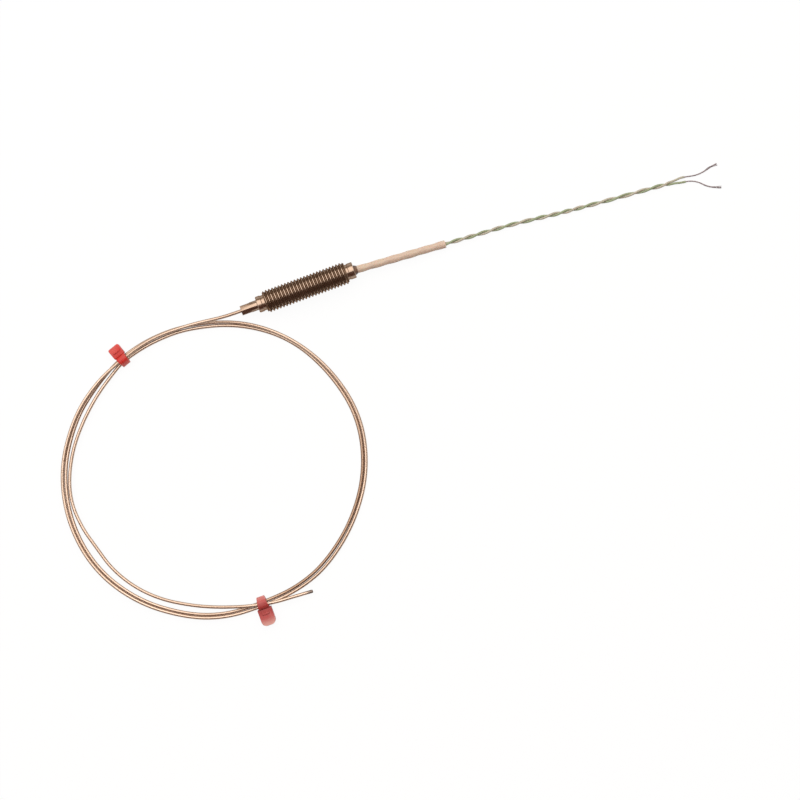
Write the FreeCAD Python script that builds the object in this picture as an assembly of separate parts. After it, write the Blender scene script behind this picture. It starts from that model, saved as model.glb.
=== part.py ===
# Mineral insulated thermocouple: a sheathed cable with a threaded pot and twisted tails, coiled and tied.
# Millimetres. +X runs along the pot's axis towards the tails, +Z is up, and z = 0 is the surface it lies on.
# The origin is on that surface, under the middle of the pot with its resin bead.
import FreeCAD, Part
import math
import os

V = FreeCAD.Vector

# Pot: one turned piece with a metric thread, from the cable's side to the tails' side
THREAD_D = 10.0
THREAD_PITCH = 1.5
THREAD_LENGTH = 38.3
SPIGOT_D = 4.5
SPIGOT_LENGTH = 7.6
CRIMP_FLATS = 4.25
CRIMP_LENGTH = 4.0
CRIMP_TURN = 35.0
CRIMP_CORNER = 0.3
COLLAR_D = 7.3
FRONT_COLLAR_LENGTH = 2.3
REAR_COLLAR_LENGTH = 2.65
NECK_D = 6.9
FRONT_NECK_LENGTH = 1.2
REAR_NECK_LENGTH = 0.9
EDGE_BREAK = 0.25
CAVITY_D = 5.6
CAVITY_FLOOR = 1.2

# Cable: steel sheath, pressed magnesia and two thermoelements
CABLE_D = 1.5
SHEATH_WALL = 0.2
THERMOELEMENT_D = 0.26
THERMOELEMENT_SPACING = 0.52
COLD_END_REACH = 5.0
TIP_LENGTH = 12.1
TIP_CAP = 0.8
TIP_BEVEL = 0.4
JUNCTION_D = 0.8
JUNCTION_LENGTH = 0.6

# Joints inside the pot
SPLICE_SPACING = 1.8
BARREL_D = 0.9
BARREL_LENGTH = 6.0
BARREL_GRIP = 2.6
SPLAY_LENGTH = 5.0
SPLICE_SLEEVE_WALL = 0.25
SPLICE_SLEEVE_OVERHANG = 1.5
BEAD_LENGTH = 1.3
BEAD_FLARE = 0.55
BEAD_LIP = 0.12

# Tails: two insulated leads, twisted, with a sleeve over the first stretch
LEAD_D = 1.0
CONDUCTOR_D = 0.6
STRIP_LENGTH = 1.2
SLEEVE_WALL = 0.55
SLEEVE_CLEARANCE = 0.02
SLEEVE_BURIED = 4.0
SLEEVE_LENGTH = 46.0
ROOT_BEND = 6.0
FLOOR_GAP = 0.03

# Ties: nylon straps with a moulded head, drawn round the three strands of the coil
STRAP_THICKNESS = 0.95
STRAND_ROOM = 0.12
STRAND_GAP = 0.1
HEAP_LIFT = 0.12
UPPER_TIE_ANGLE = 109.5
UPPER_TIE_RADIUS = 63.4
UPPER_STRAP_WIDTH = 3.6
UPPER_STRAP_ROOT = 5.0
UPPER_STRAP_SLACK = 0.35
UPPER_HEAP_SPREAD = 0.12
UPPER_HEAD_WIDTH = 5.4
UPPER_HEAD_LENGTH = 5.3
UPPER_HEAD_CORNER = 0.7
LOWER_TIE_ANGLE = 270.0
LOWER_TIE_RADIUS = 63.06
LOWER_TIE_DIP = 0.36
LOWER_STRAP_WIDTH = 3.4
LOWER_STRAP_ROOT = 5.4
LOWER_STRAP_SLACK = 0.9
LOWER_HEAP_SPREAD = 0.56
LOWER_HEAD_WIDTH = 6.4
LOWER_HEAD_LENGTH = 8.1
LOWER_HEAD_CORNER = 2.2
HEAD_HEIGHT = 3.9
HEAD_SET_BACK = 0.3
SLOT_FROM_STRANDS = 1.7
SLOT_GAP = 0.5
CUT_END_PROUD = 0.4

# Lengths and places that follow from the sizes above
AXIS_Z = THREAD_D / 2
THREAD_DEPTH = 0.6134 * THREAD_PITCH
NECKS = FRONT_NECK_LENGTH + REAR_NECK_LENGTH
COLLARS = FRONT_COLLAR_LENGTH + REAR_COLLAR_LENGTH
POT_LENGTH = SPIGOT_LENGTH + COLLARS + NECKS + THREAD_LENGTH
POT_FRONT = -(POT_LENGTH + BEAD_LENGTH) / 2
POT_REAR = POT_FRONT + POT_LENGTH
CAVITY_FRONT = POT_FRONT + SPIGOT_LENGTH + CAVITY_FLOOR
CORE_D = CABLE_D - 2 * SHEATH_WALL
COLD_END = CAVITY_FRONT + COLD_END_REACH
BARREL_START = COLD_END + SPLAY_LENGTH
BARREL_END = BARREL_START + BARREL_LENGTH
SPLICE_SLEEVE_BORE = BARREL_D + 2 * SLEEVE_CLEARANCE
SPLICE_SLEEVE_D = SPLICE_SLEEVE_BORE + 2 * SPLICE_SLEEVE_WALL
PAIR_D = 2 * LEAD_D
LEAD_OFFSET = (LEAD_D + SLEEVE_CLEARANCE) / 2
SIDES = 8
SLEEVE_BORE = PAIR_D / math.cos(math.pi / SIDES) + 2 * SLEEVE_CLEARANCE
SLEEVE_D = SLEEVE_BORE + 2 * SLEEVE_WALL
STRAND_SPACING = CABLE_D + STRAND_GAP
STACK_RISE = STRAND_SPACING * math.sqrt(3) / 2 + HEAP_LIFT
STRAND_Z = CABLE_D / 2 + STRAND_ROOM + STRAP_THICKNESS
PAIR_Z = PAIR_D / 2 + FLOOR_GAP
LEAD_Z = LEAD_D / 2 + FLOOR_GAP
BARE_Z = CONDUCTOR_D / 2 + FLOOR_GAP

# The coil lies on its ties and leans down to the surface on the side away from them
COIL_CENTRE = V(POT_FRONT - 35.6, -61.9, 0)
COIL_LEAN = 0.0128
COIL_LEAN_TOWARDS = 10.0
TIE_LINE = -10.8

# Two tied turns, each row: angle, radius of the second turn, and the first turn's step outwards from it
# and rise over the coil's plane, both in strand spacings
TIED_TURNS = [
    (80, 64.7, 0.12, 1.0),
    (95, 64.4, -0.19, 0.94),
    (UPPER_TIE_ANGLE, UPPER_TIE_RADIUS + STRAND_SPACING / 2, -0.62, 0.88),
    (124, 63.4, 0.56, 1.06),
    (140, 64.3, 0.69, 0.81),
    (160, 65.7, 1, 0.31),
    (180, 66.7, 1, 0),
    (200, 66.8, 1, 0),
    (220, 65.6, 1, 0),
    (240, 64.3, 1, 0),
    (255, 63.6, 1, 0),
    (LOWER_TIE_ANGLE, LOWER_TIE_RADIUS - STRAND_SPACING / 2 - LOWER_TIE_DIP, 1, 0),
    (285, 62.9, 1, 0),
    (300, 63.4, 1.12, 0),
    (320, 64.0, 1, 0),
    (340, 65.7, 1, 0),
    (360, 66.9, 1, 0.19),
    (380, 66.0, 1, 0.62),
    (400, 66.3, 0.44, 0.94),
    (420, 64.7, 1, 0.62),
]

# The loose third turn, each row: angle, radius, rise over the coil's plane in strand spacings
LOOSE_TURN = [
    (80, 63.1, 0),
    (95, 62.5, 0),
    (UPPER_TIE_ANGLE, UPPER_TIE_RADIUS - STRAND_SPACING / 2, 0),
    (118, 61.5, 0),
    (128, 61.2, 0),
    (140, 61.5, 0),
    (152, 62.7, 0),
    (164, 64.1, 0),
    (174, 64.2, 0),
    (184, 62.9, 0),
    (193, 62.1, 0),
    (204, 62.6, 0),
    (216, 62.3, 0),
    (228, 61.5, 0),
    (240, 60.5, 0),
    (250, 60.5, 0.19),
    (260, 61.3, 0.78),
    (265, 62.1, 1.0),
    (LOWER_TIE_ANGLE, LOWER_TIE_RADIUS, 0.95),
]

# Hand-laid stretches of cable and tails, from the pot's two ends and the coil's centre
LEAD_IN_POINTS = [
    V(POT_FRONT, 0, AXIS_Z),
    V(POT_FRONT - 4.6, 0, AXIS_Z),
    V(POT_FRONT - 10.1, 0.35, AXIS_Z - 0.4),
    V(POT_FRONT - 15.6, 1.1, AXIS_Z - 1.0),
]
TIP_POINTS = [
    COIL_CENTRE + V(5.4, -64.15, STRAND_Z + 1.5),
    COIL_CENTRE + V(10.8, -64.51, STRAND_Z + 0.98),
]
PAIR_POINTS = [
    V(POT_REAR - SLEEVE_BURIED, 0, AXIS_Z),
    V(POT_REAR + 53.2, -3.6, PAIR_Z + 0.12),
    V(POT_REAR + 72.2, -5.6, PAIR_Z),
    V(POT_REAR + 92.2, -7.5, PAIR_Z),
    V(POT_REAR + 112.2, -9.1, PAIR_Z),
    V(POT_REAR + 129.6, -10.4, PAIR_Z),
    V(POT_REAR + 144.6, -11.6, PAIR_Z),
]
NEGATIVE_END_POINTS = [
    V(POT_REAR + 149.8, -10.8, LEAD_Z + 0.27),
    V(POT_REAR + 153.2, -11.5, LEAD_Z + 0.07),
    V(POT_REAR + 156.8, -12.2, BARE_Z + 0.17),
    V(POT_REAR + 160.6, -11.9, BARE_Z + 0.12),
    V(POT_REAR + 164.0, -10.8, BARE_Z + 0.07),
    V(POT_REAR + 167.1, -10.6, BARE_Z + 0.02),
]
POSITIVE_END_POINTS = [
    V(POT_REAR + 149.6, -13.1, LEAD_Z + 0.27),
    V(POT_REAR + 153.1, -13.5, LEAD_Z + 0.07),
    V(POT_REAR + 156.6, -15.2, BARE_Z + 0.17),
    V(POT_REAR + 159.2, -18.0, BARE_Z + 0.12),
    V(POT_REAR + 162.2, -19.9, BARE_Z + 0.07),
    V(POT_REAR + 165.5, -21.0, BARE_Z + 0.02),
]


def rod(x_start, x_end, diameter, y=0.0):
    """A round rod along the pot's axis, or beside it."""
    return Part.makeCylinder(diameter / 2, x_end - x_start, V(x_start, y, AXIS_Z), V(1, 0, 0))


def rod_between(start, end, diameter):
    """A round rod from one point to another."""
    return Part.makeCylinder(diameter / 2, (end - start).Length, start, end - start)


def turned(profile):
    """The solid that a half outline of x and radius gives when it is turned about the pot's axis."""
    points = [V(x, 0, AXIS_Z + radius) for x, radius in profile]
    face = Part.Face(Part.makePolygon(points + [points[0]]))
    return face.revolve(V(0, 0, AXIS_Z), V(1, 0, 0), 360)


def route(points, name, cut_run=None):
    """Straight runs joined by tangent arcs, as one wire, or as two that meet halfway along a run."""
    pieces = [[]]
    radii = []
    start = points[0]
    for run, (before, corner, after) in enumerate(zip(points, points[1:], points[2:])):
        back = before - corner
        ahead = after - corner
        trim = 0.45 * min(back.Length, ahead.Length)
        half_turn = (math.pi - back.getAngle(ahead)) / 2
        radius = trim / math.tan(half_turn)
        arc_start = corner + back.normalize() * trim
        arc_end = corner + ahead.normalize() * trim
        inward = (back + ahead).normalize()
        arc_middle = corner + inward * radius * (1 / math.cos(half_turn) - 1)
        if run == cut_run:
            halfway = (points[run] + points[run + 1]) / 2
            pieces[-1].append(Part.LineSegment(start, halfway).toShape())
            pieces.append([])
            start = halfway
        pieces[-1].append(Part.LineSegment(start, arc_start).toShape())
        pieces[-1].append(Part.Arc(arc_start, arc_middle, arc_end).toShape())
        radii.append(round(radius, 1))
        start = arc_end
    pieces[-1].append(Part.LineSegment(start, points[-1]).toShape())
    print(name, "arc radii", radii)
    wires = [Part.Wire(edges) for edges in pieces]
    return wires if cut_run is not None else wires[0]


def tube(wire, width):
    """A plain cable along a wire. Its section has eight flats, so that long bends stay light."""
    first = wire.Edges[0]
    start = first.valueAt(first.FirstParameter)
    ahead = first.tangentAt(first.FirstParameter)
    across = ahead.cross(V(0, 0, 1)).normalize()
    up = across.cross(ahead).normalize()
    reach = width / 2 / math.cos(math.pi / SIDES)
    corners = []
    for side in range(SIDES):
        angle = (side + 0.5) * 2 * math.pi / SIDES
        corners.append(start + across * reach * math.cos(angle) + up * reach * math.sin(angle))
    section = Part.makePolygon(corners + [corners[0]])
    solid = wire.makePipeShell([section], True, False)
    expected = SIDES * (width / 2) ** 2 * math.tan(math.pi / SIDES) * wire.Length
    print("  volume", round(solid.Volume, 3), "section times length", round(expected, 3))
    return solid


def coil_point(angle, radius, rise, half_step):
    """A point of the coil, set outwards so that the arc beside it keeps the radius."""
    outward = radius / math.cos(math.radians(half_step))
    arm = V(outward * math.cos(math.radians(angle)), outward * math.sin(math.radians(angle)), 0)
    towards = math.radians(COIL_LEAN_TOWARDS)
    lean = arm.dot(V(math.cos(towards), math.sin(towards), 0)) - TIE_LINE
    return COIL_CENTRE + arm + V(0, 0, STRAND_Z - COIL_LEAN * lean + rise * STRAND_SPACING)


def coil_points():
    """The two tied turns and the loose one, from the run-in from the pot to the tip."""
    rows = [(angle, radius + step * STRAND_SPACING, rise) for angle, radius, step, rise in TIED_TURNS]
    rows += [(angle + 360, radius, 0) for angle, radius, _, _ in TIED_TURNS]
    rows += [(angle + 720, radius, rise) for angle, radius, rise in LOOSE_TURN]
    points = []
    for index, (angle, radius, rise) in enumerate(rows):
        before = rows[max(index - 1, 0)][0]
        after = rows[min(index + 1, len(rows) - 1)][0]
        points.append(coil_point(angle, radius, rise, (after - before) / 4))
    return points


def threaded_pot(cable):
    """Turned pot with crimped spigot, collars, necks and the thread's full diameter, bored for its cable."""
    spigot_end = POT_FRONT + SPIGOT_LENGTH
    collar_end = spigot_end + FRONT_COLLAR_LENGTH
    thread_start = collar_end + FRONT_NECK_LENGTH
    thread_end = thread_start + THREAD_LENGTH
    rear_collar = thread_end + REAR_NECK_LENGTH
    crimp_end = POT_FRONT + CRIMP_LENGTH
    crest = THREAD_D / 2
    root = crest - THREAD_DEPTH
    collar = COLLAR_D / 2
    body = turned([
        (crimp_end, 0),
        (crimp_end, SPIGOT_D / 2),
        (spigot_end, SPIGOT_D / 2),
        (spigot_end, collar - EDGE_BREAK),
        (spigot_end + EDGE_BREAK, collar),
        (collar_end - EDGE_BREAK, collar),
        (collar_end, collar - EDGE_BREAK),
        (collar_end, NECK_D / 2),
        (thread_start, NECK_D / 2),
        (thread_start, root),
        (thread_start + THREAD_DEPTH, crest),
        (thread_end - THREAD_DEPTH, crest),
        (thread_end, root),
        (thread_end, NECK_D / 2),
        (rear_collar, NECK_D / 2),
        (rear_collar, collar - EDGE_BREAK),
        (rear_collar + EDGE_BREAK, collar),
        (POT_REAR - EDGE_BREAK, collar),
        (POT_REAR, collar - EDGE_BREAK),
        (POT_REAR, 0),
    ])
    cavity = rod(CAVITY_FRONT, POT_REAR, CAVITY_D)
    return body.fuse(crimped_hexagon(crimp_end)).cut(cavity).cut(cable).removeSplitter()


def crimped_hexagon(crimp_end):
    """The spigot's mouth, squeezed to six flats on the cable."""
    reach = CRIMP_FLATS / 2 / math.cos(math.pi / 6)
    corners = []
    for corner in range(6):
        angle = math.radians(60 * corner + CRIMP_TURN)
        corners.append(V(POT_FRONT, reach * math.cos(angle), AXIS_Z + reach * math.sin(angle)))
    prism = Part.Face(Part.makePolygon(corners + [corners[0]])).extrude(V(crimp_end - POT_FRONT, 0, 0))
    long_edges = [edge for edge in prism.Edges if abs(edge.tangentAt(edge.FirstParameter).x) > 0.9]
    return prism.makeFillet(CRIMP_CORNER, long_edges)


def cold_end(parts):
    """The cable's end inside the pot: sheath, magnesia and the two thermoelements that leave it."""
    cable = rod(POT_FRONT, COLD_END, CABLE_D)
    core = rod(POT_FRONT, COLD_END, CORE_D)
    wires = {}
    for name, side in (("positive", -1), ("negative", 1)):
        near = side * THERMOELEMENT_SPACING / 2
        far = side * SPLICE_SPACING / 2
        wire = route([
            V(POT_FRONT, near, AXIS_Z),
            V(COLD_END + 0.2 * SPLAY_LENGTH, near, AXIS_Z),
            V(COLD_END + 0.8 * SPLAY_LENGTH, far, AXIS_Z),
            V(BARREL_START + BARREL_GRIP, far, AXIS_Z),
        ], name + " thermoelement")
        wires[name] = tube(wire, THERMOELEMENT_D)
        parts[name + "_thermoelement"] = wires[name]
    parts["cold_end_sheath"] = cable.cut(core)
    parts["cold_end_insulation"] = core.cut(Part.makeCompound(list(wires.values())))
    parts["threaded_pot"] = threaded_pot(cable)


def splice_sleeve(diameter, y):
    """A splice sleeve's outside or bore."""
    return rod(BARREL_START - SPLICE_SLEEVE_OVERHANG, BARREL_END + STRIP_LENGTH, diameter, y)


def splices(parts):
    """Each thermoelement crimped to its tail's conductor in a barrel, under a sleeve of its own."""
    start, axis = tails_axis()
    for name, side in (("positive", -1), ("negative", 1)):
        far = side * SPLICE_SPACING / 2
        bared = BARREL_END + STRIP_LENGTH
        conductor = rod(BARREL_END - BARREL_GRIP, bared, CONDUCTOR_D, far)
        barrel = rod(BARREL_START, BARREL_END, BARREL_D, far)
        filling = conductor.fuse(parts[name + "_thermoelement"])
        parts[name + "_splice_barrel"] = barrel.cut(filling)
        parts[name + "_splice_sleeve"] = splice_sleeve(SPLICE_SLEEVE_D, far).cut(
            splice_sleeve(SPLICE_SLEEVE_BORE, far))
        parts[name + "_conductor_root"] = conductor
        lead_end = start + side_of(axis) * side * LEAD_OFFSET
        root = route([
            V(bared, far, AXIS_Z),
            V(bared + ROOT_BEND, far, AXIS_Z),
            lead_end - axis * ROOT_BEND,
            lead_end,
        ], name + " lead root")
        parts[name + "_lead_root"] = tube(root, LEAD_D)


def tails_axis():
    """The line of the tails where they leave the pot, as a point inside the resin and a direction."""
    return PAIR_POINTS[0], (PAIR_POINTS[1] - PAIR_POINTS[0]).normalize()


def side_of(direction):
    """The level direction to the left of a line."""
    return V(0, 0, 1).cross(direction).normalize()


def tail_sleeve(diameter):
    """The tails' sleeve, its outside or its bore."""
    start, axis = tails_axis()
    return rod_between(start, start + axis * SLEEVE_LENGTH, diameter)


def tails(parts):
    """Sleeve, twisted stretch, and the two leads that part at its end, bared at their tips."""
    parts["tail_sleeve"] = tail_sleeve(SLEEVE_D).cut(tail_sleeve(SLEEVE_BORE))
    parts["tail_pair"] = tube(route(PAIR_POINTS, "tail pair"), PAIR_D)
    ahead = (PAIR_POINTS[-1] - PAIR_POINTS[-2]).normalize()
    for name, side, points in (("positive", -1, POSITIVE_END_POINTS), ("negative", 1, NEGATIVE_END_POINTS)):
        fork = PAIR_POINTS[-1] + side_of(ahead) * side * LEAD_OFFSET
        covered, bare = route([fork, fork + ahead * PAIR_D] + points, name + " lead end", 2)
        parts[name + "_lead_end"] = tube(covered, LEAD_D)
        parts[name + "_bare_end"] = tube(bare, CONDUCTOR_D)


def potting_resin(parts):
    """Resin that fills the pot round everything in it, with a bead where the sleeve leaves."""
    start, axis = tails_axis()
    mouth = start + axis * (POT_REAR - start.x) / axis.x
    lip = SLEEVE_D / 2 + BEAD_LIP
    bead = Part.makeCone(lip + BEAD_FLARE, lip, BEAD_LENGTH, mouth, axis)
    fill = rod(CAVITY_FRONT, POT_REAR, CAVITY_D).fuse(bead)
    fill = fill.cut(rod(POT_FRONT, COLD_END, CABLE_D)).cut(tail_sleeve(SLEEVE_D))
    for name, side in (("positive", -1), ("negative", 1)):
        fill = fill.cut(splice_sleeve(SPLICE_SLEEVE_D, side * SPLICE_SPACING / 2))
        fill = fill.cut(parts[name + "_thermoelement"]).cut(parts[name + "_lead_root"])
    parts["potting_resin"] = fill.removeSplitter()


def coiled_cable(parts):
    """The cable from the spigot's mouth to the start of its straight tip."""
    points = LEAD_IN_POINTS + coil_points() + TIP_POINTS
    lead_in, coil = route(points, "cable", len(LEAD_IN_POINTS) - 1)
    parts["cable_lead_in"] = tube(lead_in, CABLE_D)
    parts["cable_coil"] = tube(coil, CABLE_D)


def measuring_tip(parts):
    """The cable's closed end: sheath, magnesia, two thermoelements and the bead that joins them."""
    start = TIP_POINTS[1]
    ahead = (TIP_POINTS[1] - TIP_POINTS[0]).normalize()
    end = start + ahead * TIP_LENGTH
    core_end = end - ahead * TIP_CAP
    bead_start = core_end - ahead * 2 * JUNCTION_LENGTH
    junction = rod_between(bead_start, bead_start + ahead * JUNCTION_LENGTH, JUNCTION_D)
    core = rod_between(start, core_end, CORE_D)
    bevel_start = end - ahead * TIP_BEVEL
    cap = Part.makeCone(CABLE_D / 2, CABLE_D / 2 - TIP_BEVEL, TIP_BEVEL, bevel_start, ahead)
    parts["tip_sheath"] = rod_between(start, bevel_start, CABLE_D).fuse(cap).cut(core)
    wires = []
    for name, side in (("positive", -1), ("negative", 1)):
        offset = side_of(ahead) * side * THERMOELEMENT_SPACING / 2
        wires.append(rod_between(start + offset, bead_start + offset, THERMOELEMENT_D))
        parts["tip_" + name + "_wire"] = wires[-1]
    parts["hot_junction"] = junction
    parts["tip_insulation"] = core.cut(Part.makeCompound(wires + [junction]))


def strap_outline(room, slack, spread):
    """A loop round two strands and one over them, in the plane across them.
    There is slack on the coil's inside, and the top one spreads to both sides as it crosses."""
    half = STRAND_SPACING / 2
    top = STRAND_Z + STACK_RISE
    centres = [V(-half - slack, 0, STRAND_Z), V(half, 0, STRAND_Z), V(spread, 0, top), V(-spread, 0, top)]
    edges = []
    for index, centre in enumerate(centres):
        after = centres[(index + 1) % len(centres)]
        out_before = V(0, 1, 0).cross(centre - centres[index - 1]).normalize() * room
        out_after = V(0, 1, 0).cross(after - centre).normalize() * room
        middle = (out_before + out_after).normalize() * room
        edges.append(Part.Arc(centre + out_before, centre + middle, centre + out_after).toShape())
        edges.append(Part.LineSegment(centre + out_after, after + out_after).toShape())
    return Part.Face(Part.Wire(edges))


def strip(face, width):
    """A face across the strands, drawn out evenly to both sides of its plane."""
    solid = face.extrude(V(0, width, 0))
    solid.translate(V(0, -width / 2, 0))
    return solid


def tapered_strap(outline, inner_width, inner_x, root_width, root_x):
    """A strap round the strands, as wide as its root by the head and narrower on the coil's inside."""
    inner = inner_width / 2
    root = root_width / 2
    plan = [V(inner_x, -inner, 0), V(root_x, -root, 0), V(root_x, root, 0), V(inner_x, inner, 0)]
    wedge = Part.Face(Part.makePolygon(plan + [plan[0]])).extrude(V(0, 0, 2 * HEAD_HEIGHT))
    wedge.translate(V(0, 0, -STRAP_THICKNESS))
    return strip(outline, 2 * root_width).common(wedge)


def box_across(x_start, length, width, z_start, height):
    """A box that is centred on the strap's plane."""
    return Part.makeBox(length, width, height, V(x_start, -width / 2, z_start))


def tie_head(start, length, width, corner):
    """The moulded head, its outer corners rounded."""
    head = box_across(start, length, width, 0, HEAD_HEIGHT)
    upright = [edge for edge in head.Edges
               if abs(edge.tangentAt(0).z) > 0.9 and edge.CenterOfMass.x > start + length / 2]
    return head.makeFillet(corner, upright)


def cable_tie(angle, radius, strap_width, strap_root, slack, spread, head_length, head_width, head_corner):
    """Strap and head in one, first built across +X, then turned to its place on the coil."""
    room = CABLE_D / 2 + STRAND_ROOM
    opening = strip(strap_outline(room, slack, spread), 2 * head_width)
    strand_side = STRAND_SPACING / 2 + room
    inner_end = -strand_side - slack - 2 * STRAP_THICKNESS
    loop = tapered_strap(strap_outline(room + STRAP_THICKNESS, slack, spread), strap_width, inner_end,
                         strap_root, strand_side + 2 * STRAP_THICKNESS)
    head = tie_head(strand_side + HEAD_SET_BACK, head_length - HEAD_SET_BACK, head_width, head_corner)
    slot_start = strand_side + SLOT_FROM_STRANDS
    slot = box_across(slot_start, SLOT_GAP, strap_width, 0, HEAD_HEIGHT)
    cut_end = box_across(slot_start + SLOT_GAP, STRAP_THICKNESS, strap_width, HEAD_HEIGHT, CUT_END_PROUD)
    tie = loop.fuse(head).cut(opening).cut(slot).fuse(cut_end).removeSplitter()
    tie.rotate(V(0, 0, 0), V(0, 0, 1), angle)
    tie.translate(COIL_CENTRE + V(math.cos(math.radians(angle)), math.sin(math.radians(angle)), 0) * radius)
    return tie


def build():
    """Every sub-part by its node's name."""
    parts = {}
    cold_end(parts)
    splices(parts)
    tails(parts)
    potting_resin(parts)
    coiled_cable(parts)
    measuring_tip(parts)
    parts["upper_tie"] = cable_tie(
        UPPER_TIE_ANGLE, UPPER_TIE_RADIUS, UPPER_STRAP_WIDTH, UPPER_STRAP_ROOT, UPPER_STRAP_SLACK,
        UPPER_HEAP_SPREAD, UPPER_HEAD_LENGTH, UPPER_HEAD_WIDTH, UPPER_HEAD_CORNER)
    parts["lower_tie"] = cable_tie(
        LOWER_TIE_ANGLE, LOWER_TIE_RADIUS, LOWER_STRAP_WIDTH, LOWER_STRAP_ROOT, LOWER_STRAP_SLACK,
        LOWER_HEAP_SPREAD, LOWER_HEAD_LENGTH, LOWER_HEAD_WIDTH, LOWER_HEAD_CORNER)
    return parts


os.makedirs("parts", exist_ok=True)
for node, shape in build().items():
    shape.exportStep("parts/" + node + ".step")
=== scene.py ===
"""Looks of a coiled mineral insulated thermocouple, built round its packed solids. Metres, +Z up."""

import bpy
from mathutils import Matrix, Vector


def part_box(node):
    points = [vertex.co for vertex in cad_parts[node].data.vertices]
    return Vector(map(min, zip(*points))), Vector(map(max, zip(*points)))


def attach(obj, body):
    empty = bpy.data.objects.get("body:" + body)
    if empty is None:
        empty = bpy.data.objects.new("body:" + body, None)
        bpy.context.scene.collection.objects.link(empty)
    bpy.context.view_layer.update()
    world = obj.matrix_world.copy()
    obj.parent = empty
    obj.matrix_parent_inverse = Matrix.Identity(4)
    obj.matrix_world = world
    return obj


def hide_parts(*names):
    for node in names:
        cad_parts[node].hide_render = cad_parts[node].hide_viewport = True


bl_info = {
    "name": "Mineral insulated thermocouple",
    "version": (1, 0, 0),
    "blender": (4, 5, 0),
    "location": "View3D > Sidebar > Thermocouple",
    "description": "Dresses a coiled thermocouple: cable, threaded pot, twisted tails and cable ties",
    "category": "Object",
}

import bisect
import math
from collections import namedtuple

import bmesh
import bpy
from bpy.props import FloatProperty, FloatVectorProperty, IntProperty, PointerProperty
from mathutils import Matrix, Vector

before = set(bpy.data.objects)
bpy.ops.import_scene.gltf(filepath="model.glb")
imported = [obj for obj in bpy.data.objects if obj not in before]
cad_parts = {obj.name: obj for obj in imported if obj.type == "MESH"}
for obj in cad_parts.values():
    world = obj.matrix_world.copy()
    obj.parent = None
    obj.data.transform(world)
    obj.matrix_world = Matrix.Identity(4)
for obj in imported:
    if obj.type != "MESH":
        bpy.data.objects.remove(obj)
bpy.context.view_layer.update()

BODY = "root"
X_AXIS = Vector((1, 0, 0))
Y_AXIS = Vector((0, 1, 0))
UP = Vector((0, 0, 1))

# Places that the solids give
POT_LOW, POT_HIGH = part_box("threaded_pot")
POT_FRONT = POT_LOW.x
POT_REAR = POT_HIGH.x
AXIS_Z = (POT_LOW.z + POT_HIGH.z) / 2
AXIS = Vector((0, 0, AXIS_Z))

# The cable, and the room that it keeps under the ties and where one strand crosses two
CABLE_D = 0.0015
STRAND_SPACING = CABLE_D + 0.0001
STRAND_ROOM = 0.00012
STACK_ROOM = 0.00012
STRAP_THICKNESS = 0.00095
STRAND_Z = CABLE_D / 2 + STRAND_ROOM + STRAP_THICKNESS
STACK_RISE = STRAND_SPACING * math.sqrt(3) / 2 + STACK_ROOM
TIP_LENGTH = 0.0121
TIP_DOME = 0.0004

# The coil's middle, and the slope of its plane: how steep, towards which angle, and from where it falls
COIL_CENTRE = Vector((POT_FRONT - 0.0356, -0.0619, 0))
COIL_LEAN = 0.0128
COIL_LEAN_TOWARDS = 10.0
TIE_LINE = -0.0108

# Each tie: its place on the coil, its strap and the strap's root, the loop's slack and spread, and its head
TieSizes = namedtuple("TieSizes", "angle radius strap root slack spread length width corner")
UPPER_TIE = TieSizes(angle=109.5, radius=0.0634, strap=0.0036, root=0.005, slack=0.00035, spread=0.00012,
                     length=0.0053, width=0.0054, corner=0.0007)
LOWER_TIE = TieSizes(angle=270.0, radius=0.06306, strap=0.0034, root=0.0054, slack=0.0009, spread=0.00056,
                     length=0.0081, width=0.0064, corner=0.0022)
LOWER_TIE_DIP = 0.00036

# The crimped mouth's flats lean by this much about the pot's axis
CRIMP_TURN = math.radians(35)

# Two tied turns, each row: angle, radius of the second turn, and the first turn's step outwards from it
# and rise over the coil's plane, both in strand spacings
TIED_TURNS = [
    (80, 0.0647, 0.12, 1.0),
    (95, 0.0644, -0.19, 0.94),
    (UPPER_TIE.angle, UPPER_TIE.radius + STRAND_SPACING / 2, -0.62, 0.88),
    (124, 0.0634, 0.56, 1.06),
    (140, 0.0643, 0.69, 0.81),
    (160, 0.0655, 0.95, 0.31),
    (180, 0.0664, 0.95, 0),
    (200, 0.0668, 0.95, 0),
    (220, 0.0656, 0.95, 0),
    (240, 0.0643, 0.95, 0),
    (255, 0.0636, 0.95, 0),
    (LOWER_TIE.angle, LOWER_TIE.radius - STRAND_SPACING / 2 - LOWER_TIE_DIP, 1, 0),
    (285, 0.0629, 0.95, 0),
    (300, 0.0634, 1.12, 0),
    (320, 0.0640, 0.95, 0),
    (340, 0.0657, 0.95, 0),
    (360, 0.0669, 0.95, 0.19),
    (380, 0.0660, 0.95, 0.62),
    (400, 0.0663, 0.44, 0.94),
    (420, 0.0647, 0.95, 0.62),
]

# The loose third turn, each row: angle, radius, rise over the coil's plane in strand spacings
LOOSE_TURN = [
    (80, 0.0631, 0),
    (95, 0.0625, 0),
    (UPPER_TIE.angle, UPPER_TIE.radius - STRAND_SPACING / 2, 0),
    (118, 0.0615, 0),
    (128, 0.0612, 0),
    (140, 0.0615, 0),
    (152, 0.0628, 0),
    (164, 0.0641, 0),
    (174, 0.0645, 0),
    (184, 0.0634, 0),
    (193, 0.0621, 0),
    (204, 0.0626, 0),
    (216, 0.0623, 0),
    (228, 0.0615, 0),
    (240, 0.0605, 0),
    (250, 0.0605, 0.19),
    (260, 0.0613, 0.78),
    (265, 0.0621, 1.0),
    (LOWER_TIE.angle, LOWER_TIE.radius, 0.95),
]

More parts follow.
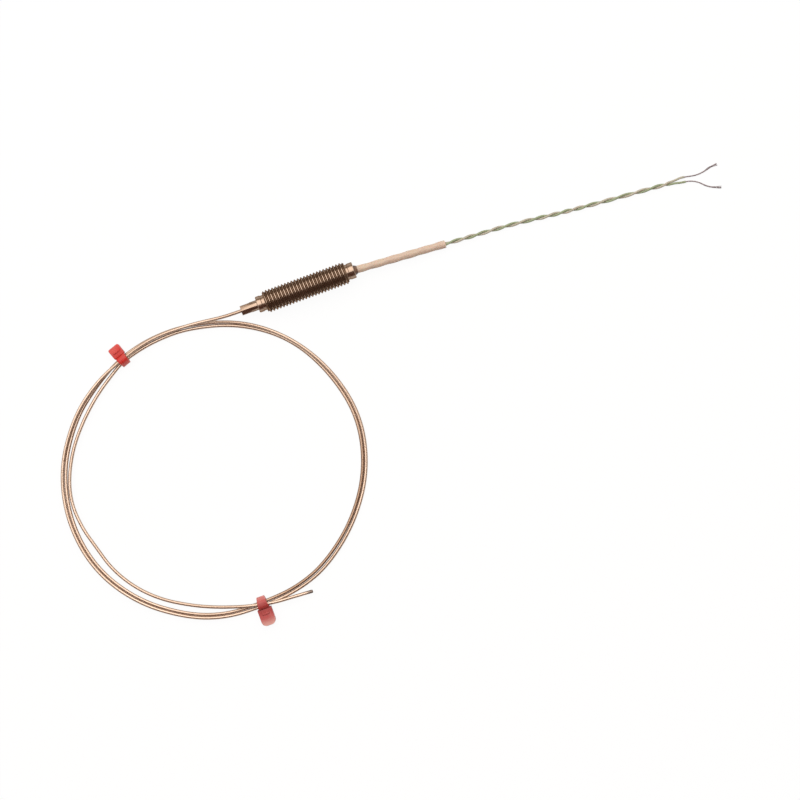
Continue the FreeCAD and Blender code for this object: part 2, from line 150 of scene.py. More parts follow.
# Stretches of the cable, given point by point
LEAD_IN_POINTS = [
    Vector((POT_FRONT, 0, AXIS_Z)),
    Vector((POT_FRONT - 0.0046, 0, AXIS_Z)),
    Vector((POT_FRONT - 0.0101, 0.00035, AXIS_Z - 0.0004)),
    Vector((POT_FRONT - 0.0156, 0.0011, AXIS_Z - 0.001)),
]
TIP_POINTS = [
    COIL_CENTRE + Vector((0.0054, -0.06415, STRAND_Z + 0.0015)),
    COIL_CENTRE + Vector((0.0108, -0.06451, STRAND_Z + 0.00098)),
]

# Tails: their thickness, and the heights at which they lie on the floor
LEAD_D = 0.001
CONDUCTOR_D = 0.0006
SLEEVE_BURIED = 0.004
FLOOR_GAP = 0.00003
PAIR_ROOM = 0.00001
LEAD_OFFSET = LEAD_D / 2 + PAIR_ROOM
PAIR_Z = LEAD_D + FLOOR_GAP
LEAD_Z = LEAD_D / 2 + FLOOR_GAP
BARE_Z = CONDUCTOR_D / 2 + FLOOR_GAP

# The twisted pair's middle line
PAIR_POINTS = [
    Vector((POT_REAR - SLEEVE_BURIED, 0, AXIS_Z)),
    Vector((POT_REAR + 0.0532, -0.0036, PAIR_Z + 0.00012)),
    Vector((POT_REAR + 0.0722, -0.00465, PAIR_Z)),
    Vector((POT_REAR + 0.0922, -0.00715, PAIR_Z)),
    Vector((POT_REAR + 0.1122, -0.0090, PAIR_Z)),
    Vector((POT_REAR + 0.1296, -0.0104, PAIR_Z)),
    Vector((POT_REAR + 0.1446, -0.0116, PAIR_Z)),
]

# Each lead's own way past the fork, counted from the pot's rear, and the heights that both ways have
LEAD_END_WAYS = {
    "negative": ((0.1498, -0.0108), (0.1532, -0.0115), (0.1568, -0.0122),
                 (0.1606, -0.0119), (0.1640, -0.0108), (0.1671, -0.0106)),
    "positive": ((0.1496, -0.0131), (0.1531, -0.0135), (0.1566, -0.0152),
                 (0.1592, -0.0180), (0.1622, -0.0199), (0.1655, -0.0210)),
}
LEAD_END_HEIGHTS = (LEAD_Z + 0.00027, LEAD_Z + 0.00007, BARE_Z + 0.00017,
                    BARE_Z + 0.00012, BARE_Z + 0.00007, BARE_Z + 0.00002)
FORK_STRAIGHT = 2 * LEAD_D
LEAD_SIDES = {"negative": 1, "positive": -1}
LEAD_COVERS = {"negative": "white_insulation", "positive": "green_insulation"}

# Where the twisted leads cross past the sleeve, counted from the pot's rear; green lies on top at the first
CROSSINGS = (0.0441, 0.0505, 0.0564, 0.0630, 0.0696, 0.0763, 0.0831, 0.0892,
             0.0950, 0.1003, 0.1060, 0.1129, 0.1207, 0.1287, 0.1361, 0.1424)
COVERED_TURNS = 3
TWIST_PLACES = [PAIR_POINTS[0].x] + [POT_REAR + place for place in CROSSINGS] + [PAIR_POINTS[-1].x]
TWIST_HALF_TURNS = [0.0] + [2 * COVERED_TURNS + 0.5 + index for index in range(len(CROSSINGS))]
TWIST_HALF_TURNS.append(TWIST_HALF_TURNS[-1] + 0.5)

# Steps between two control points of the pair's line, of a lead's end, and of points read from a line
PAIR_STEPS = 48
LEAD_END_STEPS = 12
READ_STEPS = 2

# Grain and stains: detail of both noises, the noise's middle, and where a stain's edge starts and ends in it
GRAIN_DETAIL = 3.0
STAIN_DETAIL = 2.0
NOISE_MIDDLE = 0.5
STAIN_EDGE = (0.42, 0.66)
BUMP_STRENGTH = 0.6

# The sheath browns towards the pot and turns dark grey towards the tip's end: distances from none to full,
# and the most
POT_TARNISH = (0.018, 0.004)
POT_TARNISH_MOST = 0.4
TIP_END_DARKENING = (0.0035, 0.001)

# Where the second turn is browner, as shares of the cable's points: fading in, full, full, faded out
BROWN_STRETCH = (0.53, 0.553, 0.602, 0.625)
BROWN_MOST = 0.9

# Grime with painted shade in the thread's grooves: depths from none to full, fade at the thread's ends, the
# most, and what it changes
GRIME_AND_SHADE_DEPTHS = (0.00003, 0.00025)
GRIME_AND_SHADE_FADE = 0.0002
GRIME_AND_SHADE_MOST = 0.9
GRIME_AND_SHADE_METALLIC = -0.06
GRIME_AND_SHADE_ROUGHNESS = 0.2

# Painted light through the nylon along the strap and at its far end, and painted shade in the thick head:
# distances out from the strands
PAINTED_LIGHT_STRAP = (-0.0008, -0.0036)
PAINTED_LIGHT_STRAP_MOST = 0.3
PAINTED_SHADE_FROM = (-0.002, 0.0012)
PAINTED_SHADE_TO = (0.0062, 0.0028)
PAINTED_LIGHT_END = (0.0058, 0.0102)


def length_prop(name, description, default):
    """A size in metres for a settings group."""
    return FloatProperty(name=name, description=description, default=default, precision=5,
                         unit="LENGTH", subtype="DISTANCE")


def colour_prop(name, description, default):
    """A colour for a settings group."""
    return FloatVectorProperty(name=name, description=description, default=default, size=3,
                               min=0.0, max=1.0, subtype="COLOR")


class CableSettings(bpy.types.PropertyGroup):
    """The sheathed cable and its measuring tip."""
    steel: colour_prop("Sheath steel", "Colour of the drawn sheath", (0.60, 0.465, 0.37))
    tarnish: colour_prop("Tarnish", "Colour of the sheath's darker stretches", (0.30, 0.195, 0.135))
    # Dark grey of the sheath's last stretch towards the tip's end
    weld: colour_prop("Weld", "Colour of the tip where it was welded", (0.20, 0.155, 0.135))
    edge: colour_prop("Sheath edge", "Tint of the sheath where it is seen aslant", (0.45, 0.32, 0.23))
    magnesia: colour_prop("Magnesia", "Colour of the pressed powder", (0.82, 0.79, 0.74))
    alloy: colour_prop("Thermoelements", "Colour of the thermocouple wires", (0.55, 0.50, 0.47))
    line_steps: IntProperty(name="Line steps", description="Steps between two points of the cable",
                            default=12, min=4)
    round_steps: IntProperty(name="Round steps", description="Steps round a quarter of the cable",
                             default=8, min=2)


class PotSettings(bpy.types.PropertyGroup):
    """The threaded pot, its resin and the splices in it."""
    thread_pitch: length_prop("Pitch", "Advance of the thread in one turn", 0.0015)
    thread_length: length_prop("Thread length", "Threaded stretch with its chamfers", 0.0383)
    thread_d: length_prop("Thread diameter", "Outside diameter of the thread", 0.010)
    spigot_d: length_prop("Spigot diameter", "Round part of the spigot", 0.0045)
    spigot_length: length_prop("Spigot length", "From the mouth to the front collar", 0.0076)
    bore_room: length_prop("Bore room", "Room between the sheath and the spigot's bore", 0.00002)
    mouth_chamfer: length_prop("Mouth chamfer", "Chamfer of the bore at the mouth", 0.0003)
    crimp_flats: length_prop("Crimp flats", "Across the six flats of the crimped mouth", 0.00425)
    crimp_length: length_prop("Crimp length", "Stretch of the spigot that is crimped", 0.004)
    crimp_run_out: length_prop("Crimp run-out", "From the flats' end to the round spigot", 0.0005)
    collar_d: length_prop("Collar diameter", "Both collars beside the thread", 0.0073)
    front_collar: length_prop("Front collar", "Length of the collar on the cable's side", 0.0023)
    rear_collar: length_prop("Rear collar", "Length of the collar on the tails' side", 0.00265)
    neck_d: length_prop("Neck diameter", "Relief between a collar and the thread", 0.0069)
    front_neck: length_prop("Front neck", "Length of the relief on the cable's side", 0.0012)
    cavity_d: length_prop("Cavity diameter", "Hollow that holds the resin", 0.0056)
    cavity_wall: length_prop("Cavity wall", "From the front collar's face to the hollow's floor", 0.0012)
    edge_break: length_prop("Edge break", "Chamfer on the collars", 0.00025)
    edge_round: length_prop("Edge round", "Rounding of the turned edges", 0.00006)
    steel: colour_prop("Pot steel", "Colour of the turned steel", (0.38, 0.28, 0.215))
    # Grime colour: the pot's stains, and painted shade deep in the thread's grooves
    grime_and_shade: colour_prop("Grime", "Colour of what lies in the thread's grooves", (0.185, 0.115, 0.072))
    edge: colour_prop("Pot edge", "Tint of the steel where it is seen aslant", (0.30, 0.21, 0.15))
    resin: colour_prop("Resin", "Colour of the potting resin", (0.085, 0.044, 0.03))
    cloud: colour_prop("Resin cloud", "Colour of the clouds in the resin", (0.24, 0.145, 0.10))
    splice: colour_prop("Splice", "Colour of the splice barrels", (0.72, 0.66, 0.58))
    cover: colour_prop("Splice sleeve", "Colour of the sleeves on the splices", (0.70, 0.66, 0.60))
    cover_stain: colour_prop("Sleeve stain", "Colour of the stains on those sleeves", (0.55, 0.50, 0.44))


class TailSettings(bpy.types.PropertyGroup):
    """The sleeve, the twisted leads and their bared ends."""
    sleeve_d: length_prop("Sleeve diameter", "Outside of the tails' sleeve", 0.0033)
    sleeve_bore: length_prop("Sleeve bore", "Inside of the tails' sleeve", 0.0022)
    sleeve_length: length_prop("Sleeve length", "From inside the resin to its free end", 0.046)
    sleeve_lumps: length_prop("Sleeve lumps", "How far the pair shows through the sleeve", 0.00008)
    wire_d: length_prop("Wire diameter", "One of the seven wires of a conductor", 0.0002)
    lay: length_prop("Lay", "Length of one turn of a conductor's wires", 0.013)
    sleeve: colour_prop("Sleeve", "Colour of the tails' sleeve", (0.52, 0.40, 0.322))
    sleeve_stain: colour_prop("Sleeve stain", "Colour of the sleeve's patches", (0.52, 0.42, 0.315))
    green: colour_prop("Green lead", "Colour of the positive lead", (0.26, 0.31, 0.185))
    white: colour_prop("White lead", "Colour of the negative lead", (0.39, 0.365, 0.29))
    wire: colour_prop("Bared wire", "Colour of the conductors", (0.36, 0.30, 0.31))


class TieSettings(bpy.types.PropertyGroup):
    """The two cable ties."""
    head_height: length_prop("Head height", "From the surface to the top of a head", 0.0039)
    head_set_back: length_prop("Head set-back", "From the strands' room to a head's shoulders", 0.0003)
    slot_from_strands: length_prop("Slot place", "From the strands to the head's slot", 0.0017)
    slot_gap: length_prop("Slot gap", "Open part of the head's slot", 0.0005)
    proud: length_prop("Cut end", "How far the trimmed strap stands over its head", 0.0004)
    strap_round: length_prop("Strap round", "Rounding of the strap's edges", 0.00018)
    head_round: length_prop("Head round", "Rounding of the head's edges", 0.0002)
    cut_round: length_prop("Cut end round", "Rounding of the trimmed end's edges", 0.00012)
    nylon: colour_prop("Red nylon", "Colour of the upper tie", (0.555, 0.034, 0.026))
    rose: colour_prop("Rose nylon", "Colour of the lower tie", (0.42, 0.072, 0.07))
    # Painted shade where a tie is thickest
    deep: colour_prop("Deep nylon", "Colour where a tie is thickest", (0.30, 0.03, 0.027))
    # Painted light coming through a tie, also the colour of its faint stains
    pale: colour_prop("Pale nylon", "Colour where light comes through a tie", (0.68, 0.40, 0.36))


class StageSettings(bpy.types.PropertyGroup):
    """Floor, lamp and camera."""
    field: length_prop("Field", "Width of the picture at the coil", 0.354)
    lens: FloatProperty(name="Lens", description="Focal length", default=100.0, unit="CAMERA")
    sensor: FloatProperty(name="Sensor", description="Width of the sensor", default=36.0, unit="CAMERA")
    turn: FloatProperty(name="Turn", description="Turn of the picture about the vertical",
                        default=math.radians(-20), subtype="ANGLE", unit="ROTATION")
    centre: FloatVectorProperty(name="Centre", description="Middle of the picture", size=3,
                                default=(0.02521, -0.06093, 0.0023), unit="LENGTH", subtype="XYZ")
    floor: colour_prop("Floor", "Colour of the floor", (0.90, 0.90, 0.90))
    floor_size: length_prop("Floor size", "Half of the floor's side", 3.0)
    zenith: colour_prop("Overhead", "Colour of the room over the object", (0.143, 0.069, 0.048))
    wall: colour_prop("Wall", "Colour of the room on the pot's side", (0.45, 0.35, 0.25))
    lamp: colour_prop("Lamp", "Colour of the lamp", (1.0, 0.985, 0.96))
    lamp_level: FloatProperty(name="Lamp level", description="Brightness of the lamp's face, 1 is white",
                              default=2.35, min=0.0)
    lamp_lean: FloatProperty(name="Lamp lean", description="From overhead towards the pot's side",
                             default=math.radians(22), subtype="ANGLE", unit="ROTATION")
    lamp_distance: length_prop("Lamp distance", "From the object to the lamp's face", 2.0)
    lamp_width: length_prop("Lamp width", "Along the pot", 4.0)
    lamp_depth: length_prop("Lamp depth", "Across the pot", 2.6)


SETTINGS = {
    "thermo_cable": CableSettings,
    "thermo_pot": PotSettings,
    "thermo_tails": TailSettings,
    "thermo_ties": TieSettings,
    "thermo_stage": StageSettings,
}


# Nodes and materials

def node(tree, kind, **inputs):
    """A new shader node whose inputs are set, or linked where a socket is given."""
    made = tree.nodes.new("ShaderNode" + kind)
    for name, value in inputs.items():
        plug(tree, value, made.inputs[name.replace("_", " ")])
    return made


def plug(tree, value, socket):
    """Sets a socket to a value, or links it to another socket."""
    if isinstance(value, bpy.types.NodeSocket):
        tree.links.new(value, socket)
    else:
        socket.default_value = value


def maths(tree, operation, *values):
    """The result of a math node."""
    made = tree.nodes.new("ShaderNodeMath")
    made.operation = operation
    for value, socket in zip(values, made.inputs):
        plug(tree, value, socket)
    return made.outputs[0]


def blended(tree, factor, first, second):
    """A colour between two colours."""
    made = tree.nodes.new("ShaderNodeMix")
    made.data_type = "RGBA"
    for value, name in ((factor, "Factor_Float"), (first, "A_Color"), (second, "B_Color")):
        plug(tree, value, next(socket for socket in made.inputs if socket.identifier == name))
    return next(socket for socket in made.outputs if socket.identifier == "Result_Color")


def ranged(tree, value, low, high, to_low=0.0, to_high=1.0):
    """A value moved from one range to another, eased and held at its ends."""
    made = node(tree, "MapRange", Value=value, From_Min=low, From_Max=high, To_Min=to_low, To_Max=to_high)
    made.interpolation_type = "SMOOTHSTEP"
    return made.outputs["Result"]


def coordinates(tree, kind="Object"):
    """A surface's coordinates: in metres, or as shares along a cord and round it where the kind is UV."""
    return tree.nodes.new("ShaderNodeTexCoord").outputs[kind]


def axes(tree, kind="Object"):
    """The X, Y and Z of a surface's coordinates."""
    return node(tree, "SeparateXYZ", Vector=coordinates(tree, kind)).outputs


def distance_from(tree, place):
    """How far a point of the object is from a place."""
    away = tree.nodes.new("ShaderNodeVectorMath")
    away.operation = "DISTANCE"
    plug(tree, coordinates(tree), away.inputs[0])
    plug(tree, place, away.inputs[1])
    return away.outputs["Value"]


def noise(tree, vector, size, detail):
    """Noise whose spots have a size."""
    scale = maths(tree, "DIVIDE", 1.0, size)
    return node(tree, "TexNoise", Vector=vector, Scale=scale, Detail=detail).outputs["Fac"]


def opaque(colour):
    """A settings colour with full alpha."""
    return (*colour, 1.0)


def darker(colour, share):
    """A share of a colour."""
    return [channel * share for channel in colour]


def finish_group():
    """Grain and stains that every finish shares, as one node group."""
    name = "Grain and stains"
    if name in bpy.data.node_groups:
        return bpy.data.node_groups[name]
    tree = bpy.data.node_groups.new(name, "ShaderNodeTree")
    for label, kind in (("Vector", "Vector"), ("Colour", "Color"), ("Stain", "Color"),
                        ("Grain size", "Float"), ("Grain contrast", "Float"), ("Stain size", "Float"),
                        ("Stain amount", "Float"), ("Roughness", "Float"), ("Roughness spread", "Float")):
        tree.interface.new_socket(label, in_out="INPUT", socket_type="NodeSocket" + kind)
    for label, kind in (("Colour", "Color"), ("Roughness", "Float"), ("Height", "Float")):
        tree.interface.new_socket(label, in_out="OUTPUT", socket_type="NodeSocket" + kind)
    given = tree.nodes.new("NodeGroupInput").outputs
    result = tree.nodes.new("NodeGroupOutput").inputs
    grain = noise(tree, given["Vector"], given["Grain size"], GRAIN_DETAIL)
    patches = noise(tree, given["Vector"], given["Stain size"], STAIN_DETAIL)
    stained = maths(tree, "MULTIPLY", ranged(tree, patches, *STAIN_EDGE), given["Stain amount"])
    swing = maths(tree, "SUBTRACT", grain, NOISE_MIDDLE)
    shaded = tree.nodes.new("ShaderNodeVectorMath")
    shaded.operation = "SCALE"
    plug(tree, blended(tree, stained, given["Colour"], given["Stain"]), shaded.inputs["Vector"])
    plug(tree, maths(tree, "MULTIPLY_ADD", swing, given["Grain contrast"], 1.0), shaded.inputs["Scale"])
    rough = maths(tree, "MULTIPLY_ADD", swing, given["Roughness spread"], given["Roughness"])
    plug(tree, shaded.outputs["Vector"], result["Colour"])
    plug(tree, rough, result["Roughness"])
    plug(tree, grain, result["Height"])
    return tree


class Finish:
    """A material with the shared grain and stains wired to its shader.

    Grain and stains are each a size and a strength, and roughness is a level and a spread.
    """

    def __init__(self, name, colour, stain, grain, stains, roughness, bump,
                 kind="Object", stretch=(1.0, 1.0, 1.0)):
        self.material = bpy.data.materials.new(name)
        self.material.use_nodes = True
        self.tree = self.material.node_tree
        self.shader = self.tree.nodes["Principled BSDF"]
        self.group = self.tree.nodes.new("ShaderNodeGroup")
        self.group.node_tree = finish_group()
        where = node(self.tree, "Mapping", Vector=coordinates(self.tree, kind), Scale=stretch)
        values = {
            "Vector": where.outputs["Vector"], "Colour": opaque(colour), "Stain": opaque(stain),
            "Grain size": grain[0], "Grain contrast": grain[1],
            "Stain size": stains[0], "Stain amount": stains[1],
            "Roughness": roughness[0], "Roughness spread": roughness[1],
        }
        for label, value in values.items():
            plug(self.tree, value, self.group.inputs[label])
        self.paint(self.group.outputs["Colour"])
        self.wire(self.group.outputs["Roughness"], "Roughness")
        relief = node(self.tree, "Bump", Strength=BUMP_STRENGTH, Distance=bump,
                      Height=self.group.outputs["Height"])
        self.wire(relief.outputs["Normal"], "Normal")

    def wire(self, value, name):
        """Links a value to one of the shader's sockets."""
        plug(self.tree, value, self.shader.inputs[name])

    def paint(self, colour):
        """Gives the shader a colour, and keeps it for what is laid over it."""
        self.colour = colour
        self.wire(colour, "Base Color")

    def overlay(self, mask, colour, most=1.0):
        """Lays a second colour over the first where a mask says, at most by a share."""
        if most != 1.0:
            mask = maths(self.tree, "MULTIPLY", mask, most)
        self.paint(blended(self.tree, mask, self.colour, opaque(colour)))

    def set(self, **values):
        """Sets plain values on the shader."""
        for name, value in values.items():
            self.wire(value, name.replace("_", " "))
        return self


def sheath_steel(cable):
    """Drawn sheath: satin, with long faint streaks, browner by the pot and in stretches, grey by the weld."""
    finish = Finish("sheath_steel", cable.steel, cable.tarnish, grain=(0.00025, 0.14), stains=(0.0015, 0.5),
                    roughness=(0.38, 0.1), bump=0.0000015, kind="UV", stretch=(0.02, 0.0047, 1.0))
    tree = finish.tree
    by_pot = ranged(tree, distance_from(tree, LEAD_IN_POINTS[0]), *POT_TARNISH, 0.0, POT_TARNISH_MOST)
    finish.overlay(by_pot, cable.tarnish)
    finish.overlay(ranged(tree, distance_from(tree, tip_end()), *TIP_END_DARKENING), cable.weld)
    # A stretch of the second turn is made darker brown, in the tarnish colour
    along = axes(tree, "UV")["X"]
    before, start, end, after = BROWN_STRETCH
    brown = maths(tree, "MULTIPLY", ranged(tree, along, before, start), ranged(tree, along, after, end))
    finish.overlay(brown, cable.tarnish, BROWN_MOST)
    return finish.set(Metallic=1.0, Specular_Tint=opaque(cable.edge)).material


def turned_steel(pot):
    """Turned pot: rings left by the tool, and grime with painted shade in the thread's grooves."""
    finish = Finish("pot_steel", pot.steel, pot.grime_and_shade, grain=(0.00011, 0.4), stains=(0.006, 0.25),
                    roughness=(0.26, 0.15), bump=0.000004, stretch=(1.0, 0.03, 0.03))
    finish.set(Specular_Tint=opaque(pot.edge))
    tree = finish.tree
    place = axes(tree)
    rise = maths(tree, "SUBTRACT", place["Z"], AXIS_Z)
    spread = maths(tree, "ADD", maths(tree, "POWER", place["Y"], 2.0), maths(tree, "POWER", rise, 2.0))
    from_none, to_full = (pot.thread_d / 2 - depth for depth in GRIME_AND_SHADE_DEPTHS)
    deep = ranged(tree, maths(tree, "SQRT", spread), from_none, to_full)
    along = maths(tree, "ABSOLUTE", maths(tree, "SUBTRACT", place["X"], thread_middle(pot)))
    threaded = ranged(tree, along, pot.thread_length / 2, pot.thread_length / 2 - GRIME_AND_SHADE_FADE)
    # Grime and painted shade: darker, less metallic and rougher deep in the grooves
    grime_and_shade_mask = maths(tree, "MULTIPLY", deep, threaded)
    finish.overlay(grime_and_shade_mask, pot.grime_and_shade, GRIME_AND_SHADE_MOST)
    rough = finish.group.outputs["Roughness"]
    finish.wire(maths(tree, "MULTIPLY_ADD", grime_and_shade_mask, GRIME_AND_SHADE_METALLIC, 1.0), "Metallic")
    finish.wire(maths(tree, "MULTIPLY_ADD", grime_and_shade_mask, GRIME_AND_SHADE_ROUGHNESS, rough), "Roughness")
    return finish.material


def potting_resin(pot):
    """Cast resin: brown, with clouds and a wet skin."""
    finish = Finish("resin", pot.resin, pot.cloud, grain=(0.0006, 0.3), stains=(0.0018, 0.6),
                    roughness=(0.28, 0.2), bump=0.00003)
    return finish.set(Specular_IOR_Level=0.5).material


def soft_plastic(name, colour, stain, grain=(0.0004, 0.1), stains=(0.006, 0.4), roughness=(0.45, 0.12),
                 bump=0.000005, scatter=0.06):
    """Plastic that lets a little light into its skin."""
    finish = Finish(name, colour, stain, grain, stains, roughness, bump)
    return finish.set(Subsurface_Weight=scatter, Subsurface_Scale=0.0006)


def wire_metal(name, colour, roughness=0.32):
    """Bare wire: bright, with faint drawing marks along the tails."""
    finish = Finish(name, colour, darker(colour, 0.6), grain=(0.00008, 0.5), stains=(0.002, 0.5),
                    roughness=(roughness, 0.25), bump=0.000003, stretch=(0.2, 1.0, 1.0))
    return finish.set(Metallic=1.0).material


def powder(name, colour):
    """Pressed powder: chalky and fine."""
    return Finish(name, colour, darker(colour, 0.85), grain=(0.00006, 0.3), stains=(0.0008, 0.6),
                  roughness=(0.9, 0.1), bump=0.00002).material


def red_nylon(ties, name, colour, radius, painted_shade_most, painted_light_end):
    """Moulded nylon with painted shade where it is thickest, and painted light where the strap or a far end
    lets light through.
    """
    finish = soft_plastic(name, colour, ties.pale, grain=(0.0006, 0.06), stains=(0.004, 0.1),
                          roughness=(0.34, 0.1), scatter=0.0)
    tree = finish.tree
    # Painted light through the strap and the far end, painted shade in the thick head
    out = maths(tree, "SUBTRACT", distance_from(tree, COIL_CENTRE), radius)
    painted_shade_core = maths(tree, "MULTIPLY", ranged(tree, out, *PAINTED_SHADE_FROM), ranged(tree, out, *PAINTED_SHADE_TO))
    finish.overlay(ranged(tree, out, *PAINTED_LIGHT_STRAP, 0.0, PAINTED_LIGHT_STRAP_MOST), ties.pale)
    finish.overlay(painted_shade_core, ties.deep, painted_shade_most)
    finish.overlay(ranged(tree, out, *PAINTED_LIGHT_END, 0.0, painted_light_end), ties.pale)
    return finish.set(Specular_IOR_Level=0.25).material


# Pieces and their meshes

def settle(piece, slot, *nodes):
    """Fixes a piece to the object and lets it stand for its solids; the slot is not used."""
    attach(piece, BODY)
    if nodes:
        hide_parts(*nodes)
    return piece


def dress(solid, material):
    """Gives a solid that stays its finish."""
    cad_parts[solid].material_slots[0].material = material


def shown(name, data, material=None):
    """A new object at the origin."""
    if material:
        data.materials.append(material)
    piece = bpy.data.objects.new(name, data)
    bpy.context.scene.collection.objects.link(piece)
    return piece


def mesh_piece(bm, name, material, crease=35.0):
    """Finishes a bmesh as an object, smooth up to an angle."""
    mesh = bpy.data.meshes.new(name)
    bm.to_mesh(mesh)
    bm.free()
    mesh.shade_smooth()
    mesh.set_sharp_from_angle(angle=math.radians(crease))
    return shown(name, mesh, material)


def add_shell(bm, shell):
    """Moves the faces of one bmesh into another."""
    mesh = bpy.data.meshes.new("shell")
    shell.to_mesh(mesh)
    shell.free()
    bm.from_mesh(mesh)
    bpy.data.meshes.remove(mesh)


def sharp_edges(bm, angle):
    """The edges whose faces meet at more than an angle."""
    return [edge for edge in bm.edges if edge.is_manifold and edge.calc_face_angle() > math.radians(angle)]


def round_edges(bm, edges, offset, segments):
    """Rounds some edges of a bmesh."""
    bmesh.ops.bevel(bm, geom=edges, offset=offset, offset_type="OFFSET", segments=segments, profile=0.5,
                    affect="EDGES", material=-1, clamp_overlap=True)


def cut_by_plane(bm, place, normal, clear_outer=False):
    """Cuts a bmesh by a plane, and takes away what lies beyond it where that is asked."""
    bmesh.ops.bisect_plane(bm, geom=bm.verts[:] + bm.edges[:] + bm.faces[:], plane_co=place, plane_no=normal,
                           clear_outer=clear_outer)


def verts_of(geom):
    """The vertices in what an operator gives back."""
    return [part for part in geom if isinstance(part, bmesh.types.BMVert)]


def bridge_rims(bm, place, axis, reach):
    """Joins the open rims that lie within reach of a place along an axis."""
    rims = [edge for edge in bm.edges if edge.is_boundary
            and all(abs((vert.co - place).dot(axis)) < reach for vert in edge.verts)]
    bmesh.ops.bridge_loops(bm, edges=rims)


def outline(bm, profile):
    """A line of places along the pot's axis and distances out from it, over the axis."""
    verts = [bm.verts.new((x, 0, AXIS_Z + radius)) for x, radius in profile]
    edges = [bm.edges.new(pair) for pair in zip(verts, verts[1:])]
    return verts, edges


def turned_rings(bm, profile, steps, start_angle):
    """Spins an outline about the pot's axis."""
    verts, edges = outline(bm, profile)
    bmesh.ops.rotate(bm, verts=verts, cent=AXIS, matrix=Matrix.Rotation(start_angle, 3, "X"))
    bmesh.ops.spin(bm, geom=verts + edges, cent=AXIS, axis=X_AXIS, dvec=(0, 0, 0), angle=2 * math.pi,
                   steps=steps, use_merge=True, use_duplicate=False)


def distance_out(vert):
    """A vertex's distance from the pot's axis."""
    return math.hypot(vert.co.y, vert.co.z - AXIS_Z)


def set_distance_out(vert, radius):
    """Moves a vertex straight out from the pot's axis or in to it."""
    share = radius / distance_out(vert)
    vert.co.y *= share
    vert.co.z = AXIS_Z + (vert.co.z - AXIS_Z) * share


def thread_start(pot):
    """Where the thread begins, past the spigot, the front collar and the neck."""
    return POT_FRONT + pot.spigot_length + pot.front_collar + pot.front_neck


def thread_middle(pot):
    """The middle of the threaded stretch."""
    return thread_start(pot) + pot.thread_length / 2


# Lines of the cable and the tails

def add_spline(data, points):
    """A smooth open spline with these control points."""
    spline = data.splines.new("NURBS")
    spline.points.add(len(points) - 1)
    for point, place in zip(spline.points, points):
        point.co = (*place, 1.0)
    spline.order_u = 3
    spline.use_endpoint_u = True


def cord_curve(name, lines, diameter, steps, round_steps=4):
    """A round cord along one or more lines of control points."""
    data = bpy.data.curves.new(name, "CURVE")
    data.dimensions = "3D"
    data.resolution_u = steps
    data.bevel_depth = diameter / 2
    data.bevel_resolution = round_steps
    data.use_fill_caps = True
    for points in lines:
        add_spline(data, points)
    return data


def smooth_line(points, steps):
    """Points along the smooth spline of a route."""
    data = cord_curve("route", [points], 0.0, steps)
    carrier = bpy.data.objects.new("route", data)
    mesh = bpy.data.meshes.new_from_object(carrier)
    line = [vertex.co.copy() for vertex in mesh.vertices]
    bpy.data.meshes.remove(mesh)
    bpy.data.curves.remove(data)
    return line


def lengths_along(line):
    """The length from a line's start to each of its points."""
    lengths = [0.0]
    for before, after in zip(line, line[1:]):
        lengths.append(lengths[-1] + (after - before).length)
    return lengths


def frames_along(line):
    """Each point of a line with the level direction to its left and the direction over it."""
    frames = []
    for index, point in enumerate(line):
        ahead = line[min(index + 1, len(line) - 1)] - line[max(index - 1, 0)]
        left = UP.cross(ahead).normalized()
        frames.append((point, left, ahead.cross(left).normalized()))
    return frames


def beside(point, left, over, angle, distance):
    """A place at an angle and a distance from a line's point."""
    return point + (left * math.cos(angle) + over * math.sin(angle)) * distance


def level_direction(angle):
    """The level direction at an angle in degrees."""
    return Vector((math.cos(math.radians(angle)), math.sin(math.radians(angle)), 0))


def coil_point(angle, radius, rise, half_step):
    """A point of the coil, set outwards so that the curve beside it keeps the radius."""
    arm = radius / math.cos(math.radians(half_step)) * level_direction(angle)
    lean = arm.dot(level_direction(COIL_LEAN_TOWARDS)) - TIE_LINE
    return COIL_CENTRE + arm + UP * (STRAND_Z - COIL_LEAN * lean + rise * STRAND_SPACING)


def coil_points():
    """The two tied turns and the loose one, from the pot's side to the tip."""
    rows = [(angle, radius + step * STRAND_SPACING, rise) for angle, radius, step, rise in TIED_TURNS]
    rows += [(angle + 360, radius, 0) for angle, radius, _, _ in TIED_TURNS]
    rows += [(angle + 720, radius, rise) for angle, radius, rise in LOOSE_TURN]
    points = []
    for index, (angle, radius, rise) in enumerate(rows):
        before = rows[max(index - 1, 0)][0]
        after = rows[min(index + 1, len(rows) - 1)][0]
        points.append(coil_point(angle, radius, rise, (after - before) / 4))
    return points


def tip_axis():
    """The straight tip's start and direction."""
    return TIP_POINTS[1], (TIP_POINTS[1] - TIP_POINTS[0]).normalized()


def tip_end():
    """Where the straight tip's tube ends and its weld begins."""
    start, ahead = tip_axis()
    return start + ahead * (TIP_LENGTH - TIP_DOME)


def twist_angle(x):
    """How far the pair has turned at a place along the pot's axis, read between its crossings."""
    index = min(max(bisect.bisect(TWIST_PLACES, x), 1), len(TWIST_PLACES) - 1)
    before, after = TWIST_PLACES[index - 1:index + 1]
    turned, next_turned = TWIST_HALF_TURNS[index - 1:index + 1]
    return -math.pi * (turned + (next_turned - turned) * (x - before) / (after - before))


def covered_and_bare(name):
    """A lead's line past the fork, up to the end of its insulation and beyond it."""
    ahead = (PAIR_POINTS[-1] - PAIR_POINTS[-2]).normalized()
    fork = PAIR_POINTS[-1] + UP.cross(ahead).normalized() * LEAD_SIDES[name] * LEAD_OFFSET
    ends = [Vector((POT_REAR + x, y, z)) for (x, y), z in zip(LEAD_END_WAYS[name], LEAD_END_HEIGHTS)]
    line = smooth_line([fork, fork + ahead * FORK_STRAIGHT] + ends, LEAD_END_STEPS)
    stripped = (ends[0] + ends[1]) / 2
    place = min(range(len(line)), key=lambda index: (line[index] - stripped).length)
    return line[:place + 1], line[place:]


